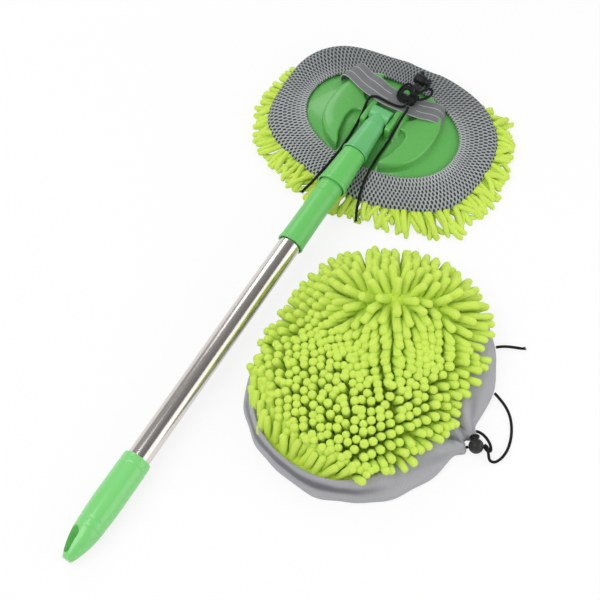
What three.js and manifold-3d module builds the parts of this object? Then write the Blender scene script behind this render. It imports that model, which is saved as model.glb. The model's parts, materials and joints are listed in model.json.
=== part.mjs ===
// Car wash brush: a telescopic pole, a hinged oval head in a chenille cover, and a spare cover.
// Millimetres, +Z up, lying on the floor at z = 0. The pole runs from the head towards -Y.
// The origin is the middle of the footprint.
import * as THREE from 'three';
import { mergeVertices } from 'three/addons/utils/BufferGeometryUtils.js';
import Module from 'manifold-3d';

const wasm = await Module();
wasm.setup();

// Fits
const gap = 0.3; // between pieces that touch
const overrun = 1; // how far a cut runs past what it cuts
const smallestFeature = 0.02;
const softFeature = 0.2;

// Head outlines, as half sizes. Fullness 2 is an ellipse, more is squarer.
const openingHalfX = 92.5;
const openingHalfY = 63;
const openingFullness = 2.2;
const coverHalfX = 131.5;
const coverHalfY = 103;
const coverFullness = 2.6;
const headSides = 36;
const moundSides = 28;

// Noodle pad of the head
const noodleDiameter = 9;
const padHeight = 15;
const backingThickness = 2.5;
const fringeLength = 24;
const fringeFarLength = 7;
const fringeDropHeight = 9;
const standingDepth = 0.5; // what the weight of the head flattens
const noodleTipShare = 0.72;
const fringeCount = 52;
// rows of noodles under the head: spread, how many, and how far each leans out as a share of its length
const standingRowShares = [[0.6, 32, 0.25], [0.12, 22, 0.1], [-0.45, 12, 0], [-0.85, 3, 0]];

// Head plate
const rimHeight = 5;
const domeRise = 7.5;
const domeFullness = 2.2;
const plateWall = 2;
const ribThickness = 2;
const ribSpacingX = 35;
const ribSpacingY = 36;
const ribMiddleY = -10;

// Raised hand rests on the plate
const moundHalfX = 68;
const moundHalfY = 58;
const moundMiddleY = -4;
const moundFullness = 2.4;
const moundHeight = 43.5;
const moundShoulder = 10.5;
const bayChamfer = 2;

// Cheeks that hold the pole's hinge
const cheekSpacing = 25;
const cheekThickness = 6.5;
const cheekNearY = -21;
const cheekFarY = 14;
const cheekTop = 50;
const cheekCorner = 3;
const cheekFoot = 28.4;

// Hinge
const pivotY = -5;
const pivotHeight = 46.5;
const pinDiameter = 4;
const pinSocketDepth = 4.3;
const pinPlay = 0.25;

// Mesh border of the cover
const borderThickness = 2.5;
const hemTop = 27;
const hemWidth = 4.1;
const notchDepth = 3;

// Hand strap
const strapWidth = 28;
const strapThickness = 1.2;
const strapNearReach = 70;
const strapFarReach = 60;
const strapMiddleNearY = 6;
const strapEndNearY = 20;
const strapMiddleTop = 51.5;
const strapSlotHeight = 25;
const strapSlotPlay = 1.1;
const strapTabLift = 2.5; // above the sole
const screwHeadRadius = 3.2;
const screwHeadHeight = 1.5;
const screwShankRadius = 1.4;
const screwBite = 8;
const screwBossRadius = 4.5;
const screwX = 51;
const screwY = 30;

// Pole, as distances from the hinge pin and radii
const poleSides = 20;
const hiddenSides = 12;
const neckRootRadius = 9.2;
const neckRingAt = 17;
const neckRingRadius = 12;
const neckRingWidth = 1.6;
const neckMouthAt = 59;
const neckMouthRadius = 15.4;
const neckMouthWidth = 3;
const neckBodyRadius = 14.3;
const neckBoreDepth = 30;
const adapterSpigotRadius = 12;
const adapterSpigotLength = 28;
const adapterTopRadius = 13.8;
const adapterRimAt = 108.6;
const adapterRimRadius = 17.2;
const adapterRimWidth = 4.5;
const adapterCupDepth = 12;
const innerTubeRadius = 11;
const outerTubeRadius = 12.5;
const tubeWall = 0.8;
const innerTubeLength = 372;
const innerTubeSetBack = 7; // from the neck's mouth
const sleeveLength = 98;
const sleeveTopRadius = 14.3;
const sleeveWaistRadius = 13.9;
const sleeveRimRadius = 15.1;
const sleeveRimWidth = 3;
const sleeveLipLength = 6;
const sleeveRingHeight = 0.4;
const sleeveRingWidth = 1.4;
const gripStartAt = 487;
const gripLength = 124;
const gripRadius = 16;
const gripTopRadius = 15;
const gripTipRadius = 5.4;
const gripGrooveDepth = 0.5;
const gripGrooveWidth = 1.4;
const gripBoreDepth = 71.3;
const slotLength = 25;
const slotWidth = 8;
const slotTipWidth = 5;
const slotFromTip = 6.5;
const slotTurn = 48; // degrees from straight up, towards -X

// Twist lock inside the pole
const plugLength = 22;
const plugPlay = 0.35;
const plugFlangeLength = 2.5;
const plugFlangeRadius = 10.8;
const studRadius = 4;
const studLength = 22;
const studCapRadius = 7;
const studCapLength = 2;
const ringRadius = 11.3;
const ringLength = 17.5;

// Drawcord
const cordDiameter = 2.8;
const cordSides = 8;
const loopSides = 6;
const loopSteps = 14;
const tuftLength = 8;
const tuftRadius = 2.8;
const bowMiddleX = 21;
const bowMiddleY = 27.5;
const bowHalfWidth = 6.2;
const bowHalfLength = 11.4;
const bowHalfHeight = 4.4;

// Cord locks
const lockRadius = 6.5;
const lockLength = 13;
const lockRounding = 2;
const lockBoreRadius = 4.5;
const lockBoreDepth = 10;
const lockHoleWidth = 6.8;
const lockHoleHeight = 3.4;
const lockX = 8;
const lockY = 73;
const buttonHeadRadius = 5.4;
const buttonHeadLength = 2.2;
const buttonTravel = 3;
const buttonStemLength = 4;
const springRadius = 3;
const springWire = 0.7;
const springTurns = 3;
const ballRadius = 8;
const ballX = 283;
const ballY = -292;
const ballTurn = 37; // degrees from +Y, towards -X

// Spare cover
const spareX = 152;
const spareY = -285;
const spareSides = 40;
const skirtHalfX = 120;
const skirtHalfY = 134;
const skirtThickness = 2.2;
const skirtShoulder = 20;
const skirtMouthShare = 0.42;
const skirtFoldDepth = 2.4;
const skirtFolds = 9;
const sparePadHalfX = 94;
const sparePadHalfY = 122;
const sparePadMiddleX = -6;
const sparePadMiddleY = 12;
const sparePadFullness = 2.3;
const sparePadFoot = 17;
const sparePadEdge = 5;
const sparePadRise = 15;
const bumpX = -18;
const bumpY = 66;
const bumpRise = 27;
const bumpSpread = 30;
const spareNoodleLength = 27;
const spareNoodlePitch = 15.6;

// Colours
const plateGreen = '#57bd4f';
const gripGreen = '#6fd466';
const limeGreen = '#b9dd4f';
const meshGrey = '#85868a';
const knitGrey = '#9a9ba3';
const strapGrey = '#77777b';
const cordBlack = '#20241f';
const plugBlack = '#3a3d3b';
const nylonWhite = '#d9dcd6';
const steelGrey = '#b9bcbe';
const springGrey = '#a7aaad';
const tubeGrey = '#bdbdbb';

const radians = THREE.MathUtils.degToRad;
const mix = THREE.MathUtils.lerp;
const point = (x, y, z) => new THREE.Vector3(x, y, z);

// Solids

function solidOf(geometry) {
  // A closed solid from a geometry, its faces turned outwards whichever way it was drawn.
  const bare = geometry.clone();
  bare.deleteAttribute('normal');
  bare.deleteAttribute('uv');
  const merged = mergeVertices(bare);
  const places = merged.getAttribute('position').array;
  const corners = merged.index.array;
  const kept = [];
  let volume = 0;
  for (let i = 0; i < corners.length; i += 3) {
    const [a, b, c] = [corners[i], corners[i + 1], corners[i + 2]];
    if (a === b || b === c || c === a) continue;
    kept.push(a, b, c);
    const [p, q, r] = [a, b, c].map((k) => point(places[3 * k], places[3 * k + 1], places[3 * k + 2]));
    volume += p.dot(q.cross(r));
  }
  if (volume < 0) {
    for (let i = 0; i < kept.length; i += 3) {
      [kept[i], kept[i + 1]] = [kept[i + 1], kept[i]];
    }
  }
  const triVerts = new Uint32Array(kept);
  return new wasm.Manifold(new wasm.Mesh({ numProp: 3, vertProperties: places, triVerts }));
}

function geometryOf(solid, detail = smallestFeature) {
  // The flat-shaded geometry of a solid, without points that add less than the detail to its shape.
  const mesh = solid.asOriginal().simplify(detail).getMesh();
  const geometry = new THREE.BufferGeometry();
  geometry.setAttribute('position', new THREE.BufferAttribute(new Float32Array(mesh.vertProperties), 3));
  geometry.setIndex(new THREE.BufferAttribute(new Uint32Array(mesh.triVerts), 1));
  const flat = geometry.toNonIndexed();
  flat.computeVertexNormals();
  return flat;
}

const joined = (solids) => solids.reduce((sum, solid) => sum.add(solid));

function loft(rings) {
  // A closed skin over rings with the same number of points, each end filled from its first point.
  const sides = rings[0].length;
  const places = rings.flat();
  const faces = [];
  for (let j = 0; j + 1 < rings.length; j += 1) {
    for (let i = 0; i < sides; i += 1) {
      const [a, b] = [j * sides + i, j * sides + ((i + 1) % sides)];
      faces.push(a, b, b + sides, a, b + sides, a + sides);
    }
  }
  const last = (rings.length - 1) * sides;
  for (let i = 1; i + 1 < sides; i += 1) {
    faces.push(0, i + 1, i);
    faces.push(last, last + i, last + i + 1);
  }
  return skin(places, faces);
}

function band(sections) {
  // A closed ring of sections, each a closed loop of points.
  const [count, size] = [sections.length, sections[0].length];
  const faces = [];
  for (let j = 0; j < count; j += 1) {
    for (let i = 0; i < size; i += 1) {
      const [a, b] = [j * size + i, j * size + ((i + 1) % size)];
      const [c, d] = [((j + 1) % count) * size + i, ((j + 1) % count) * size + ((i + 1) % size)];
      faces.push(a, b, d, a, d, c);
    }
  }
  return skin(sections.flat(), faces);
}

function skin(places, faces) {
  const geometry = new THREE.BufferGeometry().setFromPoints(places);
  geometry.setIndex(faces);
  return geometry;
}

function slab(outline, depth) {
  return new THREE.ExtrudeGeometry(new THREE.Shape(outline), { depth, bevelEnabled: false });
}

function block(sizeX, sizeY, sizeZ, x, y, z) {
  return new THREE.BoxGeometry(sizeX, sizeY, sizeZ).translate(x, y, z);
}

function turned(profile, sides = poleSides) {
  // A body turned about the pole's axis, from rows of distance along it and radius.
  return new THREE.LatheGeometry(profile.map(([along, radius]) => new THREE.Vector2(radius, -along)), sides);
}

function tube(start, length, outside, inside) {
  const end = start + length;
  return turned([[start, inside], [start, outside], [end, outside], [end, inside], [start, inside]]);
}

function cord(points, sides, steps, closed = false) {
  // A round cord along a smooth curve through the points.
  const section = new THREE.Shape();
  section.absarc(0, 0, cordDiameter / 2, 0, 2 * Math.PI);
  const outline = new THREE.Shape(section.getSpacedPoints(sides).slice(0, sides));
  const extrudePath = new THREE.CatmullRomCurve3(points, closed);
  return new THREE.ExtrudeGeometry(outline, { steps, extrudePath, bevelEnabled: false });
}

function piece(name, geometry, color, roughness, metalness = 0) {
  const mesh = new THREE.Mesh(geometry, new THREE.MeshStandardMaterial({ color, roughness, metalness }));
  mesh.name = name;
  return mesh;
}

// Head: rings and heights

function oval(halfX, halfY, fullness, height, sides = headSides) {
  // |x / halfX|^fullness + |y / halfY|^fullness = 1, at one height
  const bulge = (value) => Math.sign(value) * Math.abs(value) ** (2 / fullness);
  return Array.from({ length: sides }, (_, i) => {
    const angle = (2 * Math.PI * i) / sides;
    return point(halfX * bulge(Math.cos(angle)), halfY * bulge(Math.sin(angle)), height);
  });
}

// A spread of -1 is the middle of the head, 0 the edge of the opening and 1 the cover's outline.
function headRing(spread, height, inset = 0) {
  const share = Math.max(spread, 0);
  const scale = 1 + Math.min(spread, 0);
  const halfX = scale * mix(openingHalfX, coverHalfX, share) - inset;
  const halfY = scale * mix(openingHalfY, coverHalfY, share) - inset;
  return oval(halfX, halfY, mix(openingFullness, coverFullness, share), height);
}

function notched(ring) {
  // The cover is drawn in where its cord comes out, at the middle of the far side.
  ring[headSides / 4].y -= notchDepth;
  return ring;
}

const backingTop = padHeight + backingThickness;
const soleHeight = backingTop + gap;
const openingHeight = soleHeight + rimHeight;
const domeTop = openingHeight + domeRise;
const plateSpreadShare = 0.845;
const backingSpreadShare = 0.925;
// rows of spread within the plate's edge, and height within the rim
const plateEdgeShares = [[1, 0], [1, 0.36], [0.97, 0.66], [0.85, 0.78], [0.53, 0.9], [0, 1]];
const domeRingShares = [0.97, 0.88, 0.7, 0.45, 0.2];
const hollowEdgeShares = [[1, 0], [0.97, 0.66], [0, 1]];
const hollowDomeShares = [0.8, 0.45];

function domeHeight(share) {
  return openingHeight + domeRise * (1 - share ** domeFullness);
}

function plateTopAt(spread) {
  // Height of the plate's top at a spread, straight between the rows of its edge.
  if (spread <= 0) return domeHeight(1 + spread);
  const share = spread / plateSpreadShare;
  const k = plateEdgeShares.findIndex((row) => row[0] <= share);
  const [outer, inner] = [plateEdgeShares[k - 1], plateEdgeShares[k]];
  const part = (share - inner[0]) / (outer[0] - inner[0]);
  return soleHeight + rimHeight * mix(inner[1], outer[1], part);
}

function plateRings() {
  const edge = plateEdgeShares.map(([spread, height]) => headRing(
    spread * plateSpreadShare,
    soleHeight + rimHeight * height,
  ));
  return [...edge, ...domeRingShares.map((share) => headRing(share - 1, domeHeight(share)))];
}

function hollowRings(inset, foot) {
  // The space beneath the plate's skin, in fewer rings.
  const edge = hollowEdgeShares.map(([spread, height]) => headRing(
    spread * plateSpreadShare,
    soleHeight + rimHeight * height - inset * (height > 0 ? 1 : 0),
    inset,
  ));
  const dome = hollowDomeShares.map((share) => headRing(share - 1, domeHeight(share) - inset, inset * share));
  edge[0].forEach((p) => p.setZ(foot));
  return [...edge, ...dome];
}

// Outline of the space between the hand rests, on the +X side, as shares of the rests' half sizes
const bayEdgeShares = [
  [0.42, -1.1], [0.4, -0.93], [0.48, -0.74], [0.54, -0.46], [0.56, -0.25], [0.53, -0.09],
  [0.44, -0.03], [0.36, -0.03], [0.36, 0.19], [0.46, 0.26], [0.53, 0.36], [0.55, 0.54],
  [0.5, 0.76], [0.44, 0.92], [0.45, 1.1],
];
// rows of outline share and height within the shoulder
const moundRingShares = [[1, 0], [0.985, 0.43], [0.95, 0.7], [0.88, 0.86], [0.7, 0.96], [0.4, 1]];
const moundHollowShares = [[0.985, 0.43], [0.88, 0.86]];

function handRests() {
  // Two hollow rests, open below: one loft, less the bay between them and the space inside.
  const shoulderFoot = moundHeight - moundShoulder;
  const rings = (rows, inset) => [[1, (openingHeight - shoulderFoot) / moundShoulder], ...rows]
    .map(([share, height]) => oval(
      moundHalfX * share - inset,
      moundHalfY * share - inset,
      moundFullness,
      shoulderFoot + moundShoulder * height - inset,
      moundSides,
    ).map((p) => p.setY(p.y + moundMiddleY)));
  const side = bayEdgeShares.map(([x, y]) => [x * moundHalfX, y * moundHalfY + moundMiddleY]);
  const other = side.map(([x, y]) => [-x, y]).reverse();
  const outline = [...side, ...other].map(([x, y]) => new THREE.Vector2(x, y));
  const bay = (bevelOffset) => solidOf(new THREE.ExtrudeGeometry(new THREE.Shape(outline), {
    depth: moundHeight,
    bevelOffset,
    bevelSize: 0,
    bevelThickness: 0,
    bevelSegments: 0,
  }).translate(0, 0, soleHeight - overrun));
  const flare = new THREE.ExtrudeGeometry(new THREE.Shape(outline), {
    depth: moundHeight,
    bevelSize: bayChamfer,
    bevelThickness: bayChamfer,
    bevelSegments: 1,
  }).translate(0, 0, moundHeight - bayChamfer / 2);
  const outside = solidOf(loft(rings(moundRingShares, 0))).subtract(bay(0)).subtract(solidOf(flare));
  const inside = solidOf(loft(rings(moundHollowShares, plateWall))).subtract(bay(plateWall));
  return { outside, inside };
}

function alongX(outline, fromX, thickness) {
  // A slab across X whose outline is drawn as y and z.
  const basis = new THREE.Matrix4().makeBasis(point(0, 1, 0), point(0, 0, 1), point(1, 0, 0));
  const points = outline.map(([y, z]) => new THREE.Vector2(y, z));
  return slab(points, thickness).applyMatrix4(basis).translate(fromX, 0, 0);
}

function pinBody(radius, halfLength) {
  return new THREE.CylinderGeometry(radius, radius, 2 * halfLength, poleSides)
    .rotateZ(Math.PI / 2)
    .translate(0, pivotY, pivotHeight);
}

const cheekInside = cheekSpacing / 2;
const pinHalfLength = cheekInside + pinSocketDepth - gap;

function cheeks() {
  const outline = [
    [cheekNearY, cheekFoot],
    [cheekNearY, cheekTop - cheekCorner],
    [cheekNearY + cheekCorner, cheekTop],
    [cheekFarY - cheekCorner, cheekTop],
    [cheekFarY, cheekTop - cheekCorner],
    [cheekFarY, cheekFoot],
  ];
  const both = [cheekInside, -cheekInside - cheekThickness]
    .map((fromX) => solidOf(alongX(outline, fromX, cheekThickness)));
  return joined(both).subtract(solidOf(pinBody(pinDiameter / 2 + pinPlay, cheekInside + pinSocketDepth)));
}

function strapSlot(side) {
  const [near, far] = [strapNearReach, strapFarReach];
  const lean = Math.atan2(near - far, strapWidth);
  const length = Math.hypot(near - far, strapWidth) + 2 * strapSlotPlay;
  return block(strapThickness + 2 * strapSlotPlay, length, openingHeight, 0, 0, 0)
    .rotateZ(side * lean)
    .translate((side * (near + far)) / 2, strapEndNearY + strapWidth / 2, openingHeight);
}

const strapTabHeight = soleHeight + strapTabLift;

function screwBoss(side) {
  const foot = strapTabHeight + strapThickness / 2 + gap;
  const height = moundHeight - plateWall - foot;
  return new THREE.CylinderGeometry(screwBossRadius, screwBossRadius, height, hiddenSides)
    .rotateX(Math.PI / 2)
    .translate(side * screwX, screwY, foot + height / 2);
}

function screwBody(side, play, reach) {
  // The shank of a strap screw, from below the strap's tab up into the hand rest.
  const foot = strapTabHeight - strapThickness / 2 - gap;
  return new THREE.CylinderGeometry(screwShankRadius + play, screwShankRadius + play, reach, hiddenSides)
    .rotateX(Math.PI / 2)
    .translate(side * screwX, screwY, foot + reach / 2);
}

function ribs() {
  const bars = [-1, 0, 1].map((k) => block(ribThickness, 2 * coverHalfY, domeTop, k * ribSpacingX, 0, 0));
  [-1, 1].forEach((k) => {
    const y = ribMiddleY + (k * ribSpacingY) / 2;
    bars.push(block(2 * coverHalfX, ribThickness, domeTop, 0, y, 0));
  });
  const space = solidOf(loft(hollowRings(plateWall / 2, soleHeight)));
  const lift = bars.map((bar) => solidOf(bar.translate(0, 0, soleHeight + domeTop / 2)));
  return joined(lift).intersect(space);
}

function basePlate() {
  const rests = handRests();
  const shell = solidOf(loft(plateRings()))
    .add(rests.outside)
    .subtract(solidOf(loft(hollowRings(plateWall, soleHeight - overrun))))
    .subtract(rests.inside);
  const bosses = [-1, 1].map((side) => solidOf(screwBoss(side)));
  let plate = joined([shell, ribs(), cheeks(), ...bosses]);
  [-1, 1].forEach((side) => {
    plate = plate.subtract(solidOf(strapSlot(side)));
    plate = plate.subtract(solidOf(screwBody(side, gap, screwBite + 2 * strapThickness)));
  });
  return geometryOf(plate);
}

// Hand strap

// rows along the +X half: share of reach, share of height above the slot, share of the bow
const strapStationShares = [
  [0.17, 1, 0.04], [0.28, 0.995, 0.1], [0.43, 0.87, 0.27], [0.63, 0.76, 0.52], [0.8, 0.715, 0.77],
  [0.9, 0.62, 0.91], [0.96, 0.44, 0.98], [0.99, 0.2, 1], [1, 0, 1],
];

function handStrap() {
  const middle = strapMiddleTop - strapThickness / 2;
  const station = (side, along, height, bow) => {
    const y = mix(strapMiddleNearY, strapEndNearY, bow);
    const z = mix(strapSlotHeight, middle, height);
    return {
      near: point(side * along * strapNearReach, y, z),
      far: point(side * along * strapFarReach, y + strapWidth, z),
    };
  };
  const tab = [[0.985, strapTabHeight], [0.66, strapTabHeight]];
  const half = (side) => [
    ...strapStationShares.map((row) => station(side, ...row)),
    ...tab.map(([along, z]) => {
      const end = station(side, along, 0, 1);
      end.near.setZ(z);
      end.far.setZ(z);
      return end;
    }),
  ];
  const path = [...half(-1).reverse(), station(1, 0, 1, 0), ...half(1)];
  const sections = path.map(({ near, far }, k) => {
    const before = path[Math.max(k - 1, 0)];
    const after = path[Math.min(k + 1, path.length - 1)];
    const along = after.near.clone().add(after.far).sub(before.near).sub(before.far);
    const up = point(-along.z, 0, along.x).normalize().multiplyScalar(strapThickness / 2);
    return [near.clone().sub(up), far.clone().sub(up), far.clone().add(up), near.clone().add(up)];
  });
  const strap = solidOf(loft(sections));
  const holes = [-1, 1].map((side) => solidOf(screwBody(side, gap, screwBite)));
  return geometryOf(holes.reduce((rest, hole) => rest.subtract(hole), strap));
}

function strapScrew(side) {
  const under = strapTabHeight - strapThickness / 2 - gap;
  const head = new THREE.CylinderGeometry(screwHeadRadius, screwHeadRadius, screwHeadHeight, hiddenSides)
    .rotateX(Math.PI / 2)
    .translate(side * screwX, screwY, under - screwHeadHeight / 2);
  return geometryOf(solidOf(head).add(solidOf(screwBody(side, 0, screwBite))));
}

// Cover on the head

function meshBorder() {
  // The border's section, as rows of spread and height: over the top, round the edge and back
  // under, where the hem leaves room for its drawcord.
  const hemShare = hemWidth / (coverHalfX - openingHalfX);
  const seat = (spread) => plateTopAt(spread) + gap;
  const over = (spread, share = 1) => seat(spread) + borderThickness * share;
  const under = soleHeight + gap;
  const cordTop = openingHeight + cordDiameter + 2 * gap;
  const section = [
    [0, cordTop], [0, hemTop], [hemShare, hemTop], [0.45, over(0.45)], [0.72, over(0.72, 0.9)],
    [0.9, soleHeight + rimHeight * 0.68], [0.99, soleHeight - rimHeight * 0.1],
    [0.985, padHeight - rimHeight * 0.35], [0.945, padHeight - rimHeight * 0.35], [0.937, under],
    [0.882, soleHeight + rimHeight * 0.37], [0.842, seat(0.8)],
    [hemShare, openingHeight + gap], [hemShare, cordTop],
  ];
  const rings = section.map(([spread, height]) => {
    const ring = headRing(spread, height);
    return spread > backingSpreadShare ? notched(ring) : ring;
  });
  return geometryOf(solidOf(band(rings)));
}

function hemDrawcord() {
  const height = openingHeight + gap + cordDiameter / 2;
  const spread = hemWidth / 2 / (coverHalfX - openingHalfX);
  const line = headRing(spread, height);
  const radius = cordDiameter / 2;
  const sections = line.map((p) => {
    const out = point(p.x, p.y, 0).normalize();
    return Array.from({ length: loopSides }, (_, i) => {
      const angle = (2 * Math.PI * i) / loopSides;
      return p.clone().addScaledVector(out, radius * Math.cos(angle)).setZ(p.z + radius * Math.sin(angle));
    });
  });
  return geometryOf(solidOf(band(sections)));
}

function strand(points, radius) {
  // One noodle: three sides round a bent line, drawn in at its tip.
  const tip = points.length - 1;
  const rings = points.map((p, k) => {
    const along = points[Math.min(k + 1, tip)].clone().sub(points[Math.max(k - 1, 0)]).normalize();
    const side = point(0, 0, 1).cross(along);
    if (side.length() < radius / (10 * noodleDiameter)) side.set(1, 0, 0);
    side.normalize();
    const up = along.clone().cross(side);
    const size = radius * (k === tip ? noodleTipShare : 1);
    return [0, 1, 2].map((corner) => p.clone()
      .addScaledVector(up, size * Math.cos((2 * Math.PI * corner) / 3))
      .addScaledVector(side, size * Math.sin((2 * Math.PI * corner) / 3)));
  });
  return solidOf(loft(rings));
}

function chenillePad() {
  const radius = noodleDiameter / 2;
  const root = padHeight + backingThickness / 4;
  const strands = [];
  const edge = notched(headRing(mix(0, backingSpreadShare, 0.83), root));
  const full = new THREE.CatmullRomCurve3(edge, true);
  for (let i = 0; i < fringeCount; i += 1) {
    const start = full.getPointAt(i / fringeCount);
    const out = point(start.x / coverHalfX, start.y / coverHalfY, 0).normalize();
    const far = THREE.MathUtils.smoothstep(out.y, 0.3, 0.75);
    const reach = mix(fringeLength, fringeFarLength, far) * (1 + 0.1 * Math.sin(7 * i));
    const bend = start.clone().addScaledVector(out, noodleDiameter * 0.45).setZ(root - fringeDropHeight);
    const tip = start.clone().addScaledVector(out, noodleDiameter * 0.45 + reach);
    strands.push(strand([start, bend, tip.setZ(radius + gap + standingDepth)], radius));
  }
  standingRowShares.forEach(([spread, count, lean]) => {
    const row = new THREE.CatmullRomCurve3(headRing(spread, root), true);
    for (let i = 0; i < count; i += 1) {
      const start = row.getPointAt(i / count);
      const out = point(start.x, start.y, 0).normalize().multiplyScalar(lean * padHeight);
      strands.push(strand([start, start.clone().add(out).setZ(-standingDepth)], radius));
    }
  });
  const backingRings = [padHeight, backingTop].map((height) => notched(headRing(backingSpreadShare, height)));
  const backing = loft(backingRings);
  const floor = block(4 * coverHalfX, 4 * coverHalfY, padHeight, 0, 0, -padHeight / 2);
  return geometryOf(joined([solidOf(backing), ...strands]).subtract(solidOf(floor)), softFeature);
}

// Pole, along -Y of its own frame from the hinge pin

const poleReach = gripStartAt + gripLength;
// rows of distance and radius within the grip, and the distances of its three ring grooves
const gripProfileShares = [[0.02, 0.965], [0.1, 0.99], [0.47, 1], [0.61, 0.965], [0.74, 0.9], [0.95, 0.47]];
const gripGrooveShares = [0.08, 0.63, 0.7];

// The slope at which the grip first rests on the floor, where
// pivotHeight = distance sin(slope) + radius cos(slope).
const poleSlope = Math.min(...gripProfileShares.map(([along, radius]) => {
  const [distance, size] = [gripStartAt + gripLength * along, gripRadius * radius];
  return Math.asin(pivotHeight / Math.hypot(distance, size)) - Math.atan2(size, distance);
}));

function pivotNeck() {
  const half = cheekInside - gap - pinPlay;
  const root = new THREE.CylinderGeometry(neckRootRadius, neckRootRadius, 2 * half, poleSides)
    .rotateZ(Math.PI / 2);
  const ringEnd = neckRingAt + neckRingWidth;
  const rimStart = neckMouthAt - neckMouthWidth;
  const body = turned([
    [0, 0], [0, neckRootRadius - gap], [neckRingAt, neckRingRadius - gap], [neckRingAt, neckRingRadius],
    [ringEnd, neckRingRadius], [ringEnd, neckRingRadius - gap], [rimStart, neckBodyRadius],
    [rimStart, neckMouthRadius], [neckMouthAt, neckMouthRadius], [neckMouthAt, 0],
  ]);
  const boreRadius = adapterSpigotRadius + gap;
  const bore = turned([
    [neckMouthAt - neckBoreDepth, 0], [neckMouthAt - neckBoreDepth, boreRadius],
    [neckMouthAt + overrun, boreRadius], [neckMouthAt + overrun, 0],
  ]);
  const holeRadius = pinDiameter / 2 + pinPlay;
  const hole = new THREE.CylinderGeometry(holeRadius, holeRadius, 2 * cheekSpacing, poleSides)
    .rotateZ(Math.PI / 2);
  return geometryOf(solidOf(root).add(solidOf(body)).subtract(solidOf(bore)).subtract(solidOf(hole)));
}

const innerTubeStart = neckMouthAt + innerTubeSetBack;
const innerTubeEnd = innerTubeStart + gap + innerTubeLength;
const sleeveStart = adapterRimAt - adapterCupDepth + gap;
const outerTubeStart = sleeveStart + sleeveLipLength + gap;
const outerTubeLength = gripStartAt + gripBoreDepth - gap - outerTubeStart;

function poleAdapter() {
  const spigotTop = neckMouthAt - adapterSpigotLength;
  const shoulder = neckMouthAt + gap;
  const rimStart = adapterRimAt - adapterRimWidth;
  const cupFloor = adapterRimAt - adapterCupDepth;
  return geometryOf(solidOf(turned([
    [spigotTop, 0], [spigotTop, adapterSpigotRadius], [shoulder, adapterSpigotRadius],
    [shoulder, adapterTopRadius], [rimStart, adapterRimRadius - 2 * gap], [rimStart, adapterRimRadius],
    [adapterRimAt, adapterRimRadius], [adapterRimAt, sleeveTopRadius + 2 * gap],
    [cupFloor, sleeveTopRadius + 2 * gap], [cupFloor, innerTubeRadius + gap],
    [innerTubeStart, innerTubeRadius + gap], [innerTubeStart, 0],
  ])));
}

function lockSleeve() {
  const end = sleeveStart + sleeveLength;
  const ringAt = mix(sleeveStart, end, 0.27);
  const waistAt = mix(sleeveStart, end, 0.5);
  const rimStart = end - sleeveRimWidth;
  return geometryOf(solidOf(turned([
    [sleeveStart, innerTubeRadius + gap], [sleeveStart, sleeveTopRadius], [ringAt, sleeveTopRadius],
    [ringAt + sleeveRingWidth / 2, sleeveTopRadius + sleeveRingHeight],
    [ringAt + sleeveRingWidth, sleeveTopRadius], [waistAt, sleeveWaistRadius],
    [rimStart, sleeveRimRadius - sleeveRingHeight], [rimStart, sleeveRimRadius], [end, sleeveRimRadius],
    [end, outerTubeRadius + gap], [outerTubeStart - gap, outerTubeRadius + gap],
    [outerTubeStart - gap, innerTubeRadius + gap], [sleeveStart, innerTubeRadius + gap],
  ])));
}

function gripRadiusAt(share) {
  const rows = [[0, gripTopRadius / gripRadius], ...gripProfileShares, [1, gripTipRadius / gripRadius]];
  const k = rows.findIndex((row) => row[0] >= share);
  const [before, after] = [rows[Math.max(k - 1, 0)], rows[k]];
  const part = (share - before[0]) / Math.max(after[0] - before[0], Number.EPSILON);
  return gripRadius * mix(before[1], after[1], part);
}

function handGrip() {
  const end = gripStartAt + gripLength;
  const rows = gripProfileShares
    .map(([along, radius]) => [mix(gripStartAt, end, along), gripRadius * radius]);
  const grooves = gripGrooveShares.flatMap((share) => {
    const middle = mix(gripStartAt, end, share);
    const radius = gripRadiusAt(share);
    return [[-1, 0], [0, gripGrooveDepth], [1, 0]]
      .map(([side, depth]) => [middle + (side * gripGrooveWidth) / 2, radius - depth]);
  });
  const outside = [[gripStartAt, gripTopRadius], ...rows, ...grooves].sort((a, b) => a[0] - b[0]);
  const boreRadius = outerTubeRadius + gap;
  const body = turned([
    [gripStartAt + gripBoreDepth, 0], [gripStartAt + gripBoreDepth, boreRadius], [gripStartAt, boreRadius],
    ...outside, [end, gripTipRadius], [end, 0],
  ]);
  return geometryOf(solidOf(body).subtract(solidOf(hangingSlot(end))));
}

function hangingSlot(end) {
  // A tapered slot with round ends, right through the tip.
  const [low, high] = [end - slotFromTip, end - slotFromTip - slotLength];
  const outline = new THREE.Shape();
  outline.absarc(0, -low + slotTipWidth / 2, slotTipWidth / 2, Math.PI, 2 * Math.PI);
  outline.absarc(0, -high - slotWidth / 2, slotWidth / 2, 0, Math.PI);
  return new THREE.ExtrudeGeometry(outline, { depth: 4 * gripRadius, bevelEnabled: false, curveSegments: 4 })
    .translate(0, 0, -2 * gripRadius)
    .rotateY(-radians(slotTurn));
}

function expanderStud() {
  // A plug pressed into the inner tube, with the stud that the expander ring turns on.
  const plugStart = innerTubeEnd - plugLength;
  const flange = innerTubeEnd + gap;
  const stem = flange + plugFlangeLength;
  const end = stem + studLength;
  const plugRadius = innerTubeRadius - tubeWall - plugPlay;
  return geometryOf(solidOf(turned([
    [plugStart, 0], [plugStart, plugRadius], [flange, plugRadius], [flange, plugFlangeRadius],
    [stem, plugFlangeRadius], [stem, studRadius], [end - studCapLength, studRadius],
    [end - studCapLength, studCapRadius], [end, studCapRadius], [end, 0],
  ], hiddenSides)));
}

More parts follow.
